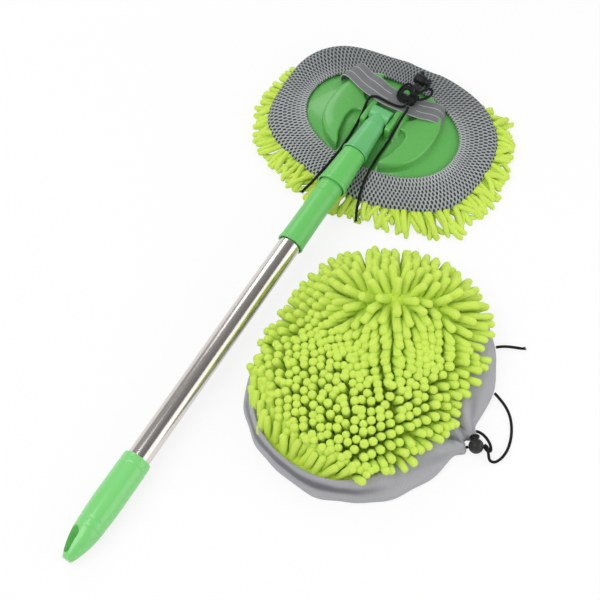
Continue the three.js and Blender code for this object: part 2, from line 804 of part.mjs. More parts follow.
function expanderRing() {
  // The nylon ring that swells against the outer tube. A waist in its outside grips the lock's lip.
  const start = innerTubeEnd + 2 * gap + plugFlangeLength;
  const inside = studRadius + gap;
  const waist = ringRadius - gap;
  const end = start + ringLength;
  return geometryOf(solidOf(turned([
    [start, inside], [start, ringRadius], [mix(start, end, 0.3), ringRadius], [mix(start, end, 0.4), waist],
    [mix(start, end, 0.6), waist], [mix(start, end, 0.7), ringRadius], [end, ringRadius], [end, inside],
    [start, inside],
  ], hiddenSides)));
}

// Cords and their locks

const strapTopRest = strapMiddleTop + gap;
const bowHeight = strapTopRest + bowHalfHeight;
const bowMiddle = point(bowMiddleX, bowMiddleY, bowHeight);

// Routes, chosen by hand along the photographed lines
const outerLoopRoute = [
  [19, 31, 56.2], [15.5, 38, 55.4], [11.5, 45.5, 54], [6, 46.5, 53.4], [2.6, 40, 53.6], [2.4, 31, 54.2],
  [4.6, 24, 54.6], [9.6, 20.2, 55], [15, 20.4, 55.6], [20, 23.5, 56.2],
];
const innerLoopRoute = [
  [20, 30, 59.2], [15, 34.5, 59.6], [10.6, 36, 59.4], [7.6, 32.5, 59.2], [8, 27.6, 59.2],
  [11.4, 25, 59.2], [15.4, 25.2, 59], [20, 26, 58.6],
];
const rightLoopRoute = [
  [21, 34, 56.4], [24.6, 42, 56], [27.6, 50.5, 54.2], [31.6, 54, 52.6], [34.8, 50, 52], [34.4, 42.5, 52.8],
  [31, 35.5, 54.4], [26.6, 30, 55.8], [22, 27, 56.2],
];
const leadRoute = [
  [8.2, 66.1, 34.2], [9.4, 62.4, 36.6], [13.2, 55.6, 44], [16.6, 48, 51], [19, 42.6, 54.8], [20, 39.5, 55.9],
];
const exitRoute = [[2, 88, 26.6], [3.2, 86.4, 29.8], [5.4, 83.6, 33.2], [7.6, 80, 34.4]];
const leftTailRoute = [
  [19.4, 16.3, 55.2], [15.5, 13.4, 54], [8, 11.8, 53.6], [0, 11.4, 53.5], [-8, 11.6, 53.6],
  [-15.5, 11.4, 53.7], [-20.8, 8.4, 53.5], [-22.4, 2.4, 51.2], [-22, -6, 45.2], [-21.6, -17, 38.4],
  [-21.2, -29, 34.6], [-20.8, -42, 32.6], [-21, -55, 30.8], [-21.6, -68, 29.6], [-22.8, -81, 28.6], [-24.6, -93, 26.6],
  [-27, -103, 22.4], [-29.6, -111.5, 18.6], [-31.5, -119, 17.2],
];
const rightTailRoute = [
  [22.6, 16.3, 55], [23.2, 11.5, 53.9], [23, 5.5, 52.3], [22.4, -2, 48], [22, -10, 43.4], [21.7, -20, 38.8],
  [21.2, -32, 35], [20.6, -44, 33], [20.8, -57, 30.6], [22, -70, 29.5], [24.2, -83, 28.4], [26.8, -94, 26.4],
  [29.6, -103.5, 22.2], [33, -112.5, 18.4], [37.5, -121.5, 17],
];
const spareExitRoute = [[270, -302.7, 4.8], [272.8, -300.2, 6.2], [276.4, -296.9, 7.8]];
const spareLoopRoute = [
  [272.3, -276.6, 4.6], [277, -275, 4.9], [283, -275.2, 4.4], [289.5, -277.6, 3.6], [295.2, -282, 3],
  [297.6, -286.8, 3.2], [294.6, -289, 4.8], [289.9, -287.2, 6.5],
];
const spareArcRoute = [
  [289.8, -286.9, 9.7], [294, -287.9, 9.8], [298, -293, 7.6], [302, -296.8, 4.4], [306.6, -295.4, 2.2],
  [310.4, -288.4, 1.6], [311.6, -277, 1.6], [309, -264, 1.6], [303.6, -251.6, 1.6], [295.6, -240.4, 1.6],
  [286, -232.6, 1.8], [277, -228.4, 2.6], [269.6, -226, 3.8],
];
const spareTailRoute = [
  [245.2, -177.2, 5], [249.8, -172.8, 4], [255.6, -168.6, 2.8], [261.6, -165.6, 2.3], [268, -163.6, 3.2],
];

const onRoute = (route) => route.map(([x, y, z]) => point(x, y, z));
const cordAlong = (route, steps) => geometryOf(solidOf(cord(onRoute(route), cordSides, steps)));

function leastGap(routes, steps) {
  // The least gap between neighbouring loops, and within each, measured on points of their lines.
  const turnsOfCord = routes
    .map((route) => new THREE.CatmullRomCurve3(onRoute(route)).getSpacedPoints(steps));
  const reach = Math.ceil(steps / 4);
  let least = Infinity;
  turnsOfCord.forEach((a, i) => turnsOfCord.forEach((b, j) => {
    a.forEach((p, m) => b.forEach((q, n) => {
      const inKnot = [p, q].some((at) => insideBow(at));
      if (inKnot || (i === j && Math.abs(m - n) < reach)) return;
      least = Math.min(least, p.distanceTo(q) - cordDiameter);
    }));
  }));
  return least;
}

function insideBow(at) {
  const offset = at.clone().sub(bowMiddle);
  const reach = 1 + cordDiameter / bowHalfWidth;
  return Math.hypot(offset.x / bowHalfWidth, offset.y / bowHalfLength, offset.z / bowHalfHeight) < reach;
}

function drawcordBow() {
  // A knot with three loops of the same cord.
  const knot = new THREE.SphereGeometry(1, 2 * loopSides, loopSides)
    .scale(bowHalfWidth, bowHalfLength, bowHalfHeight)
    .translate(bowMiddle.x, bowMiddle.y, bowMiddle.z);
  const routes = [outerLoopRoute, innerLoopRoute, rightLoopRoute];
  const loops = routes.map((route) => solidOf(cord(onRoute(route), loopSides, loopSteps)));
  console.log(`bow: least gap between loops ${leastGap(routes, 4 * loopSteps).toFixed(2)} mm`);
  return geometryOf(joined([solidOf(knot), ...loops]));
}

function tuft(route) {
  // The frayed end of a cord, flaring along its last stretch.
  const [before, end] = onRoute(route.slice(-2));
  const along = end.clone().sub(before).normalize();
  const profile = [
    [0, 0], [0, cordDiameter / 2], [0.4, cordDiameter / 2], [0.9, tuftRadius], [1, tuftRadius / 2], [1, 0],
  ];
  const shape = new THREE.LatheGeometry(
    profile.map(([share, radius]) => new THREE.Vector2(radius, share * tuftLength)),
    cordSides,
  );
  const turn = new THREE.Quaternion().setFromUnitVectors(point(0, 1, 0), along);
  const start = end.clone().addScaledVector(along, gap);
  return geometryOf(solidOf(shape.applyQuaternion(turn).translate(start.x, start.y, start.z)));
}

// A lock's own frame has its button along +Y and the middle of its body at the origin.
const lockMouth = lockLength / 2;

function lockBore(mouth) {
  const radius = lockBoreRadius;
  const floor = mouth - lockBoreDepth;
  const rim = mouth + overrun;
  return turned([[-floor, 0], [-floor, radius], [-rim, radius], [-rim, 0]], hiddenSides);
}

function lockHole() {
  return block(4 * ballRadius, lockHoleHeight, lockHoleWidth, 0, 0, 0);
}

function lockBarrel() {
  const [end, body] = [lockLength / 2, lockLength / 2 - lockRounding];
  const shell = turned([
    [-end, 0], [-end, lockRadius - lockRounding / 2], [-body, lockRadius], [body, lockRadius],
    [end, lockRadius - lockRounding], [end, 0],
  ], hiddenSides);
  return geometryOf(solidOf(shell).subtract(solidOf(lockBore(lockMouth))).subtract(solidOf(lockHole())));
}

const ballMouth = ballRadius * 0.78;

function lockBall() {
  const ball = solidOf(new THREE.SphereGeometry(ballRadius, hiddenSides, hiddenSides / 2));
  const lid = block(4 * ballRadius, ballRadius, 4 * ballRadius, 0, ballMouth + ballRadius / 2, 0);
  const bored = ball.subtract(solidOf(lid)).subtract(solidOf(lockBore(ballMouth)));
  return geometryOf(bored.subtract(solidOf(lockHole())));
}

function lockButton(mouth) {
  // The sprung button: a stem in the bore and a wider cap that stops at the rim.
  const stem = lockBoreRadius - gap;
  const cap = mouth + buttonTravel + gap;
  const foot = mouth - buttonStemLength;
  const top = cap + buttonHeadLength;
  return geometryOf(solidOf(turned([
    [-foot, 0], [-foot, stem], [-cap, stem], [-cap, buttonHeadRadius], [-(top - gap), buttonHeadRadius],
    [-top, buttonHeadRadius - 2 * gap], [-top, 0],
  ], hiddenSides)));
}

function lockSpring(mouth) {
  // A helix under the button: radius springRadius, one pitch a turn, its ends straight.
  const foot = mouth - lockBoreDepth + gap + springWire / 2;
  const top = mouth - buttonStemLength - gap - springWire / 2;
  const steps = 8 * springTurns;
  const line = Array.from({ length: steps + 1 }, (_, i) => {
    const angle = (2 * Math.PI * i) / 8;
    return point(springRadius * Math.cos(angle), mix(foot, top, i / steps), springRadius * Math.sin(angle));
  });
  const section = new THREE.Shape();
  section.absarc(0, 0, springWire / 2, 0, 2 * Math.PI);
  const outline = new THREE.Shape(section.getSpacedPoints(5).slice(0, 5));
  const extrudePath = new THREE.CatmullRomCurve3(line);
  const coil = new THREE.ExtrudeGeometry(outline, { steps, extrudePath, bevelEnabled: false });
  const pitch = (top - foot) / springTurns;
  return { geometry: geometryOf(solidOf(coil)), least: pitch - springWire };
}

// Spare cover

// outline of the skirt on the floor, as shares of its half sizes, anticlockwise from +X
const skirtOutlineShares = [
  [0.99, 0.06], [1, 0.26], [0.94, 0.5], [0.82, 0.74], [0.6, 0.95], [0.24, 1.07], [-0.16, 1.08], [-0.54, 0.98],
  [-0.85, 0.68], [-0.97, 0.28], [-0.98, -0.14], [-0.92, -0.48], [-0.77, -0.75], [-0.5, -0.93], [-0.18, -1.03],
  [0.16, -1.04], [0.47, -0.93], [0.73, -0.74], [0.9, -0.48], [0.96, -0.22],
];

function skirtOutline() {
  const knots = skirtOutlineShares.map(([x, y]) => point(x * skirtHalfX, y * skirtHalfY, 0));
  const curve = new THREE.CatmullRomCurve3(knots, true);
  const count = 8 * spareSides;
  const spaced = curve.getSpacedPoints(count).slice(0, count);
  // one point of the outline for each angle round the pad's middle
  return padOutline(1, 0).map((p) => {
    const aim = Math.atan2(p.y - sparePadMiddleY, p.x - sparePadMiddleX);
    const turn = (q) => {
      const delta = Math.atan2(q.y - sparePadMiddleY, q.x - sparePadMiddleX) - aim;
      return Math.abs(Math.atan2(Math.sin(delta), Math.cos(delta)));
    };
    return spaced.reduce((best, q) => (turn(q) < turn(best) ? q : best));
  });
}

function padOutline(share, height) {
  return oval(sparePadHalfX * share, sparePadHalfY * share, sparePadFullness, height, spareSides)
    .map((p) => p.add(point(sparePadMiddleX, sparePadMiddleY, 0)));
}

const sparePadTop = sparePadFoot + sparePadEdge;

function spareSkirt() {
  // A sleeve of knit round the pad: out and down to the floor, then turned in to its mouth.
  const outer = skirtOutline();
  const inner = padOutline(1, 0);
  const wall = skirtThickness;
  const top = sparePadTop - gap;
  const rows = [
    [0, top], [0.3, top - skirtShoulder * 0.08], [0.62, top - skirtShoulder * 0.28],
    [0.87, top - skirtShoulder * 0.58], [1, skirtShoulder * 0.24], [0.985, skirtShoulder * 0.05],
    [0.93, 0], [-skirtMouthShare, 0], [-skirtMouthShare, wall], [0.86, wall],
    [0.9, skirtShoulder * 0.25], [0.78, top - skirtShoulder * 0.62 - wall * 0.5],
    [0.56, top - skirtShoulder * 0.28 - wall * 1.2], [0.26, top - skirtShoulder * 0.08 - wall],
    [0, top - wall],
  ];
  const sections = outer.map((edge, i) => {
    const root = inner[i];
    const out = edge.clone().sub(root);
    const start = root.clone().addScaledVector(out.clone().normalize(), gap);
    const fold = skirtFoldDepth * Math.sin((2 * Math.PI * skirtFolds * i) / spareSides);
    return rows.map(([share, height]) => {
      const lift = fold * Math.max(0, 4 * share * (1 - share)) * (height > wall ? 1 : 0);
      const reach = share < 0 ? share * ((sparePadHalfX / out.length()) * 0.5) : share;
      return start.clone().addScaledVector(edge.clone().sub(start), reach).setZ(height + lift);
    });
  });
  return geometryOf(solidOf(band(sections)));
}

function spareHeight(x, y) {
  // The dome of the pad with the bump that stands up under its far end.
  const share = Math.hypot((x - sparePadMiddleX) / sparePadHalfX, (y - sparePadMiddleY) / sparePadHalfY);
  const bump = Math.exp(-((x - bumpX) ** 2 + (y - bumpY) ** 2) / (2 * bumpSpread ** 2));
  const fade = 1 - THREE.MathUtils.smoothstep(share, 0.8, 1);
  return sparePadTop + sparePadRise * Math.max(0, 1 - share ** 2.4) + bumpRise * bump * fade;
}

function spareChenille() {
  const ringShares = [1, 0.88, 0.7, 0.45, 0.2];
  const rings = ringShares.map((share) => padOutline(share, 0).map((p) => p.setZ(spareHeight(p.x, p.y))));
  const pad = solidOf(loft([padOutline(1, sparePadFoot), ...rings]));
  const radius = noodleDiameter / 2;
  const strands = [];
  const rowHeight = spareNoodlePitch * Math.sin(radians(60));
  const rowCount = Math.ceil(sparePadHalfY / rowHeight);
  const columnCount = Math.ceil(sparePadHalfX / spareNoodlePitch);
  for (let row = -rowCount; row <= rowCount; row += 1) {
    for (let column = -columnCount; column <= columnCount; column += 1) {
      const x = sparePadMiddleX + (column + (row % 2 ? 0.5 : 0)) * spareNoodlePitch;
      const y = sparePadMiddleY + row * rowHeight;
      const reach = Math.abs((x - sparePadMiddleX) / sparePadHalfX) ** sparePadFullness
        + Math.abs((y - sparePadMiddleY) / sparePadHalfY) ** sparePadFullness;
      if (reach < 0.93) strands.push(spareStrand(x, y, radius));
    }
  }
  console.log(`spare cover: ${strands.length} noodles`);
  return geometryOf(joined([pad, ...strands]), softFeature);
}

function spareStrand(x, y, radius) {
  // A noodle leans with the slope of the pad, out from the bump and over the pad's edge.
  const step = sparePadRise / 10;
  const slopeX = (spareHeight(x + step, y) - spareHeight(x - step, y)) / (2 * step);
  const slopeY = (spareHeight(x, y + step) - spareHeight(x, y - step)) / (2 * step);
  const root = point(x, y, spareHeight(x, y) - radius / 2);
  const fromBump = Math.hypot(x - bumpX, y - bumpY) / bumpSpread;
  const near = Math.exp(-(fromBump ** 2) / 3);
  const lean = point(-slopeX, -slopeY, 0).clampLength(0, 1.1);
  const away = point(x - bumpX, y - bumpY, 0).normalize().multiplyScalar(near * Math.min(1, fromBump));
  const aim = point(lean.x + away.x, lean.y + away.y, 1 - 0.45 * near).normalize();
  const bend = root.clone().addScaledVector(aim, spareNoodleLength * 0.5);
  const droop = aim.clone().add(point(lean.x, lean.y, -0.25)).normalize();
  const tip = bend.clone().addScaledVector(droop, spareNoodleLength * 0.5);
  return strand([root, bend, tip], radius);
}

// Assembly

const brush = new THREE.Group();

const head = new THREE.Group();
head.add(piece('base_plate', basePlate(), plateGreen, 0.3));
head.add(piece('pivot_pin', geometryOf(solidOf(pinBody(pinDiameter / 2, pinHalfLength))), steelGrey, 0.3, 1));
head.add(piece('hand_strap', handStrap(), strapGrey, 0.8));
head.add(piece('strap_screw_left', strapScrew(-1), steelGrey, 0.35, 1));
head.add(piece('strap_screw_right', strapScrew(1), steelGrey, 0.35, 1));
head.add(piece('cover_mesh_border', meshBorder(), meshGrey, 0.9));
head.add(piece('cover_chenille', chenillePad(), limeGreen, 0.95));
head.add(piece('hem_drawcord', hemDrawcord(), cordBlack, 0.8));
head.add(piece('drawcord_bow', drawcordBow(), cordBlack, 0.8));
head.add(piece('drawcord_lead', cordAlong(leadRoute, 5), cordBlack, 0.8));
head.add(piece('drawcord_exit', cordAlong(exitRoute, 3), cordBlack, 0.8));
head.add(piece('drawcord_tail_left', cordAlong(leftTailRoute, 19), cordBlack, 0.8));
head.add(piece('drawcord_tail_right', cordAlong(rightTailRoute, 19), cordBlack, 0.8));
head.add(piece('tail_tuft_left', tuft(leftTailRoute), cordBlack, 0.9));
head.add(piece('tail_tuft_right', tuft(rightTailRoute), cordBlack, 0.9));

const headSpring = lockSpring(lockMouth);
const headLock = new THREE.Group();
headLock.add(piece('cord_lock_barrel', lockBarrel(), cordBlack, 0.45));
headLock.add(piece('cord_lock_button', lockButton(lockMouth), cordBlack, 0.45));
headLock.add(piece('cord_lock_spring', headSpring.geometry, springGrey, 0.3, 1));
headLock.position.set(lockX, lockY, hemTop + lockRadius + 2 * gap);
headLock.rotation.z = -Math.PI / 2;
head.add(headLock);
console.log(`cord lock springs: least gap between turns ${headSpring.least.toFixed(2)} mm`);

const pole = new THREE.Group();
const innerTube = tube(innerTubeStart + gap, innerTubeLength, innerTubeRadius, innerTubeRadius - tubeWall);
const outerTube = tube(outerTubeStart, outerTubeLength, outerTubeRadius, outerTubeRadius - tubeWall);
pole.add(piece('pivot_neck', pivotNeck(), plateGreen, 0.3));
pole.add(piece('pole_adapter', poleAdapter(), plateGreen, 0.3));
pole.add(piece('inner_tube', geometryOf(solidOf(innerTube)), tubeGrey, 0.25, 1));
pole.add(piece('expander_stud', expanderStud(), plugBlack, 0.5));
pole.add(piece('expander_ring', expanderRing(), nylonWhite, 0.5));
pole.add(piece('outer_tube', geometryOf(solidOf(outerTube)), tubeGrey, 0.2, 1));
pole.add(piece('lock_sleeve', lockSleeve(), gripGreen, 0.35));
pole.add(piece('hand_grip', handGrip(), gripGreen, 0.4));
pole.position.set(0, pivotY, pivotHeight);
pole.rotation.x = poleSlope;

const spare = new THREE.Group();
spare.add(piece('spare_chenille', spareChenille(), limeGreen, 0.95));
spare.add(piece('spare_skirt', spareSkirt(), knitGrey, 0.9));
spare.position.set(spareX, spareY, 0);

const spareLock = new THREE.Group();
const spareSpring = lockSpring(ballMouth);
spareLock.add(piece('spare_lock_ball', lockBall(), cordBlack, 0.4));
spareLock.add(piece('spare_lock_button', lockButton(ballMouth), cordBlack, 0.4));
spareLock.add(piece('spare_lock_spring', spareSpring.geometry, springGrey, 0.3, 1));
spareLock.position.set(ballX, ballY, ballRadius + gap);
spareLock.rotation.z = radians(ballTurn);

const spareCords = new THREE.Group();
spareCords.add(piece('spare_cord_exit', cordAlong(spareExitRoute, 2), cordBlack, 0.8));
spareCords.add(piece('spare_cord_loop', cordAlong(spareLoopRoute, 8), cordBlack, 0.8));
spareCords.add(piece('spare_cord_arc', cordAlong(spareArcRoute, 16), cordBlack, 0.8));
spareCords.add(piece('spare_cord_tail', cordAlong(spareTailRoute, 5), cordBlack, 0.8));
spareCords.add(piece('spare_tail_tuft', tuft(spareTailRoute), cordBlack, 0.9));

brush.add(head, pole, spare, spareLock, spareCords);

// The footprint leaves out the free cords and what is on them.
const footprint = new THREE.Box3();
brush.updateMatrixWorld(true);
[head.getObjectByName('cover_chenille'), ...pole.children, ...spare.children]
  .forEach((mesh) => footprint.expandByObject(mesh, true));
const footprintMiddle = footprint.getCenter(point(0, 0, 0));
brush.position.set(-footprintMiddle.x, -footprintMiddle.y, 0);

export default brush;
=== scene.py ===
import json
import math

import bmesh
import bpy
import numpy as np
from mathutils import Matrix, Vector


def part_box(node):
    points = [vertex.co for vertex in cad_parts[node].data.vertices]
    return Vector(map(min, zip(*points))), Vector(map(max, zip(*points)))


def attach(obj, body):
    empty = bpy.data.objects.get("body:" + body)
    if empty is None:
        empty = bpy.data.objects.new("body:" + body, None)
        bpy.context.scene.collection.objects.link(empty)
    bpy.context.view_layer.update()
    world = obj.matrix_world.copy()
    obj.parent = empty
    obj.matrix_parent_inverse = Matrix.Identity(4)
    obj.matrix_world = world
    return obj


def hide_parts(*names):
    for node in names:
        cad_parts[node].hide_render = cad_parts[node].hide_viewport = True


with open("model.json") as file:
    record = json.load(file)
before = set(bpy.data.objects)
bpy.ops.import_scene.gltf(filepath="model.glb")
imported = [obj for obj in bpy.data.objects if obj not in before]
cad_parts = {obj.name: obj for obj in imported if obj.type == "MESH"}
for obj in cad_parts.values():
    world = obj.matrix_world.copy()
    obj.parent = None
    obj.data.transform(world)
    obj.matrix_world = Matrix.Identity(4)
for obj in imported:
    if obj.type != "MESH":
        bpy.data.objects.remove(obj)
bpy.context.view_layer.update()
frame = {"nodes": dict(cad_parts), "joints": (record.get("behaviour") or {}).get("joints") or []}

rng = np.random.default_rng(41)
pinLow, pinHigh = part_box("pivot_pin")
pinPlace = np.array([0.0, -5.0, 46.5])  # the hinge pin's middle, in these millimetres
shift = np.array((pinLow + pinHigh) / 2) - pinPlace / 1000
slide = next(joint for joint in frame["joints"] if joint["name"] == "pole_extend")
poleAxis = np.array(slide["axis"], float)
poleAxis /= np.linalg.norm(poleAxis)
acrossPole = np.array([1.0, 0.0, 0.0])
abovePole = np.cross(poleAxis, acrossPole)


# Helpers on arrays of points.

def placed(points):
    # frame = p / 1000 + shift
    return np.asarray(points, float) / 1000 + shift


def unit(vectors):
    # v / |v|
    return vectors / np.maximum(np.linalg.norm(vectors, axis=-1, keepdims=True), 1e-12)


def mix(a, b, share):
    # a + (b - a) share
    return a + (b - a) * share


def eased(x, low, high):
    # t t (3 - 2 t), where t runs from 0 at low to 1 at high
    t = np.clip((np.asarray(x, float) - low) / (high - low), 0, 1)
    return t * t * (3 - 2 * t)


def waves(angle, table):
    # sum of size sin(count angle + phase) over the table's rows
    return sum(size * np.sin(count * angle + phase) for count, size, phase in table)


def throughPoints(knots, count, closed=False):
    # Centripetal Catmull-Rom: on each stretch c0 + c1 t + c2 t^2 + c3 t^3, its end slopes from
    # neighbours weighed by the square roots of their distances; then even steps of length.
    knots = np.asarray(knots, float)
    if closed:
        p = np.concatenate([knots[-1:], knots, knots[:2]])
    else:
        p = np.concatenate([2 * knots[:1] - knots[1:2], knots, 2 * knots[-1:] - knots[-2:-1]])
    d = np.maximum(np.linalg.norm(np.diff(p, axis=0), axis=1, keepdims=True), 1e-9) ** 0.5
    p0, p1, p2, p3 = p[:-3], p[1:-2], p[2:-1], p[3:]
    d0, d1, d2 = d[:-2], d[1:-1], d[2:]
    m1 = ((p1 - p0) / d0 - (p2 - p0) / (d0 + d1) + (p2 - p1) / d1) * d1
    m2 = ((p2 - p1) / d1 - (p3 - p1) / (d1 + d2) + (p3 - p2) / d2) * d1
    t = np.linspace(0, 1, 33)[:-1][None, :, None]
    c2 = -3 * p1 + 3 * p2 - 2 * m1 - m2
    c3 = 2 * p1 - 2 * p2 + m1 + m2
    line = p1[:, None] + m1[:, None] * t + c2[:, None] * t**2 + c3[:, None] * t**3
    line = np.concatenate([line.reshape(-1, knots.shape[1]), p2[-1:]])
    return evenly(line, count)


def distances(line):
    # how far along the line each point lies, the sum of |p(i + 1) - p(i)| up to it
    return np.concatenate([[0], np.cumsum(np.linalg.norm(np.diff(line, axis=0), axis=1))])


def evenly(line, count):
    # the same line in count points, spaced evenly by length
    far = distances(line)
    at = np.linspace(0, far[-1], count)
    return np.stack([np.interp(at, far, line[:, k]) for k in range(line.shape[1])], axis=1)


def lengthOf(line):
    # sum of |p(i + 1) - p(i)|
    return float(np.linalg.norm(np.diff(line, axis=0), axis=1).sum())


def roundedRows(rows, steps=5):
    # each corner P becomes (1 - s)^2 P1 + 2 s (1 - s) P + s^2 P2, with P1 and P2 at its cut
    rows = np.array([(*row, 0.0)[:3] for row in rows], float)
    points = [rows[0, :2]]
    for before, corner, after in zip(rows[:-2], rows[1:-1], rows[2:]):
        back, ahead = before[:2] - corner[:2], after[:2] - corner[:2]
        cut = min(corner[2], 0.48 * np.linalg.norm(back), 0.48 * np.linalg.norm(ahead))
        if cut <= 0:
            points.append(corner[:2])
            continue
        first, last = corner[:2] + unit(back) * cut, corner[:2] + unit(ahead) * cut
        s = np.linspace(0, 1, steps)[:, None]
        points.extend((1 - s) ** 2 * first + 2 * s * (1 - s) * corner[:2] + s**2 * last)
    points.append(rows[-1, :2])
    return np.array(points)


# Making a piece: grids of points become one mesh.

def gridFaces(rows, columns):
    # quads (a, a + 1, a + columns + 1, a + columns) of points numbered row by row
    i, j = np.meshgrid(np.arange(rows - 1), np.arange(columns - 1), indexing="ij")
    a = i * columns + j
    return np.stack([a, a + 1, a + columns + 1, a + columns], axis=-1).reshape(-1, 4)


def surface(name, grids, finish, body, replaces=(), uvs=None, traits=None):
    # A piece from grids of points (rows, columns, 3) or stacks of them (many, rows, columns, 3),
    # with seams and poles merged and its faces outwards. uvs and traits follow the grids' points.
    points, faces, count = [], [], 0
    for grid in grids:
        stack = grid if grid.ndim == 4 else grid[None]
        many, rows, columns = stack.shape[:3]
        own = gridFaces(rows, columns)
        steps = count + np.arange(many)[:, None, None] * rows * columns
        faces.append((own[None] + steps).reshape(-1, 4))
        points.append(stack.reshape(-1, 3))
        count += many * rows * columns
    points, faces = placed(np.concatenate(points)), np.concatenate(faces)
    mesh = bpy.data.meshes.new(name)
    mesh.from_pydata(points, [], faces.tolist())
    if uvs is not None:
        corners = np.concatenate([uv.reshape(-1, 2) for uv in uvs])[faces.ravel()]
        mesh.uv_layers.new(name="UVMap").data.foreach_set("uv", corners.astype(np.float32).ravel())
    for trait, values in (traits or {}).items():
        flat = np.concatenate([np.asarray(v, np.float32).ravel() for v in values])
        mesh.attributes.new(trait, "FLOAT", "POINT").data.foreach_set("value", flat)
    work = bmesh.new()
    work.from_mesh(mesh)
    bmesh.ops.remove_doubles(work, verts=work.verts, dist=2e-6)
    bmesh.ops.recalc_face_normals(work, faces=work.faces)
    work.to_mesh(mesh)
    work.free()
    mesh.shade_smooth()
    mesh.materials.append(finish)
    piece = bpy.data.objects.new(name, mesh)
    bpy.context.scene.collection.objects.link(piece)
    if body:
        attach(piece, body)
    if replaces:
        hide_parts(*replaces)
    return piece


def turned(profile, sides, origin, axis, start):
    # p(along, angle) = origin + along axis + radius (cos(angle) start + sin(angle) axis x start)
    angle = np.linspace(0, 2 * np.pi, sides + 1)
    axis, start = unit(np.asarray(axis, float)), unit(np.asarray(start, float))
    spoke = np.cos(angle)[:, None] * start + np.sin(angle)[:, None] * np.cross(axis, start)
    along, radius = profile[:, 0], profile[:, 1]
    grid = np.asarray(origin, float) + along[:, None, None] * axis + radius[:, None, None] * spoke
    far = distances(profile)
    u = np.broadcast_to(angle * max(radius.max(), 0.1), (len(profile), sides + 1))
    v = np.broadcast_to(far[:, None], u.shape)
    return grid, np.stack([u, v], axis=-1)


def swept(line, radii, sides):
    # p(i, angle) = line(i) + radius(i) (cos(angle) side(i) + sin(angle) up(i))
    ahead = unit(np.gradient(line, axis=0))
    side = unit(np.cross(ahead, [0.0, 0.0, 1.0]))
    up = np.cross(side, ahead)
    angle = np.linspace(0, 2 * np.pi, sides + 1)[None, :, None]
    radii = np.broadcast_to(np.asarray(radii, float), len(line))[:, None, None]
    ring = np.cos(angle) * side[:, None] + np.sin(angle) * up[:, None]
    grid = line[:, None] + radii * ring
    u = np.broadcast_to(distances(line)[:, None], (len(line), sides + 1))
    v = np.broadcast_to(np.linspace(0, 1, sides + 1), u.shape)
    return grid, np.stack([u, v], axis=-1)


def capped(grid, uv):
    # the same tube, its ends drawn in to their middles
    ends = [np.broadcast_to(grid[k].mean(axis=0), grid[k].shape) for k in (0, -1)]
    whole = np.concatenate([ends[0][None], grid, ends[1][None]])
    return whole, np.concatenate([uv[:1], uv, uv[-1:]])


# Finishes. Patterns run in metres, or in the millimetres of a piece's own u and v.

def sRgb(red, green, blue):
    # linear colour from 0 to 255 of a screen: ((c / 255 + 0.055) / 1.055)^2.4
    share = np.array([red, green, blue]) / 255
    linear = np.where(share <= 0.04045, share / 12.92, ((share + 0.055) / 1.055) ** 2.4)
    return (*[float(c) for c in linear], 1.0)


class Value:
    # A socket of a material that is added to, scaled and compared like a number.
    def __init__(self, finish, socket):
        self.finish, self.socket = finish, socket

    def math(self, operation, *terms):
        return self.finish.node("ShaderNodeMath", {"operation": operation}, terms)

    def __add__(self, other):
        return self.math("ADD", self, other)

    def __sub__(self, other):
        return self.math("SUBTRACT", self, other)

    def __rsub__(self, other):
        return self.math("SUBTRACT", other, self)

    def __mul__(self, other):
        return self.math("MULTIPLY", self, other)

    def __truediv__(self, other):
        return self.math("DIVIDE", self, other)

    def __pow__(self, other):
        return self.math("POWER", self, other)

    def __mod__(self, other):
        return self.math("FLOORED_MODULO", self, other)

    def __gt__(self, other):
        return self.math("GREATER_THAN", self, other)

    def __lt__(self, other):
        return self.math("LESS_THAN", self, other)

    def size(self):
        return self.math("ABSOLUTE", self)

    def wave(self, pitch=1.0):
        # sin(2 pi x / pitch)
        return self.math("SINE", self * (2 * math.pi / pitch))

    def least(self, other):
        return self.math("MINIMUM", self, other)

    def most(self, other):
        return self.math("MAXIMUM", self, other)

    def step(self, low, high):
        # 0 below low, 1 above high, smooth between
        limits = {"interpolation_type": "SMOOTHSTEP"}
        return self.finish.node("ShaderNodeMapRange", limits, {0: self, 1: low, 2: high})

    __radd__ = __add__


class Nodes:
    # A node tree and the one way that nodes are added to it.
    def __init__(self, tree):
        self.tree = tree

    def node(self, kind, settings=None, inputs=(), output=0):
        made = self.tree.nodes.new(kind)
        for setting, value in (settings or {}).items():
            setattr(made, setting, value)
        pairs = inputs.items() if isinstance(inputs, dict) else enumerate(inputs)
        for socket, value in pairs:
            if isinstance(value, Value):
                self.tree.links.new(value.socket, made.inputs[socket])
            else:
                made.inputs[socket].default_value = value
        return Value(self, made.outputs[output])


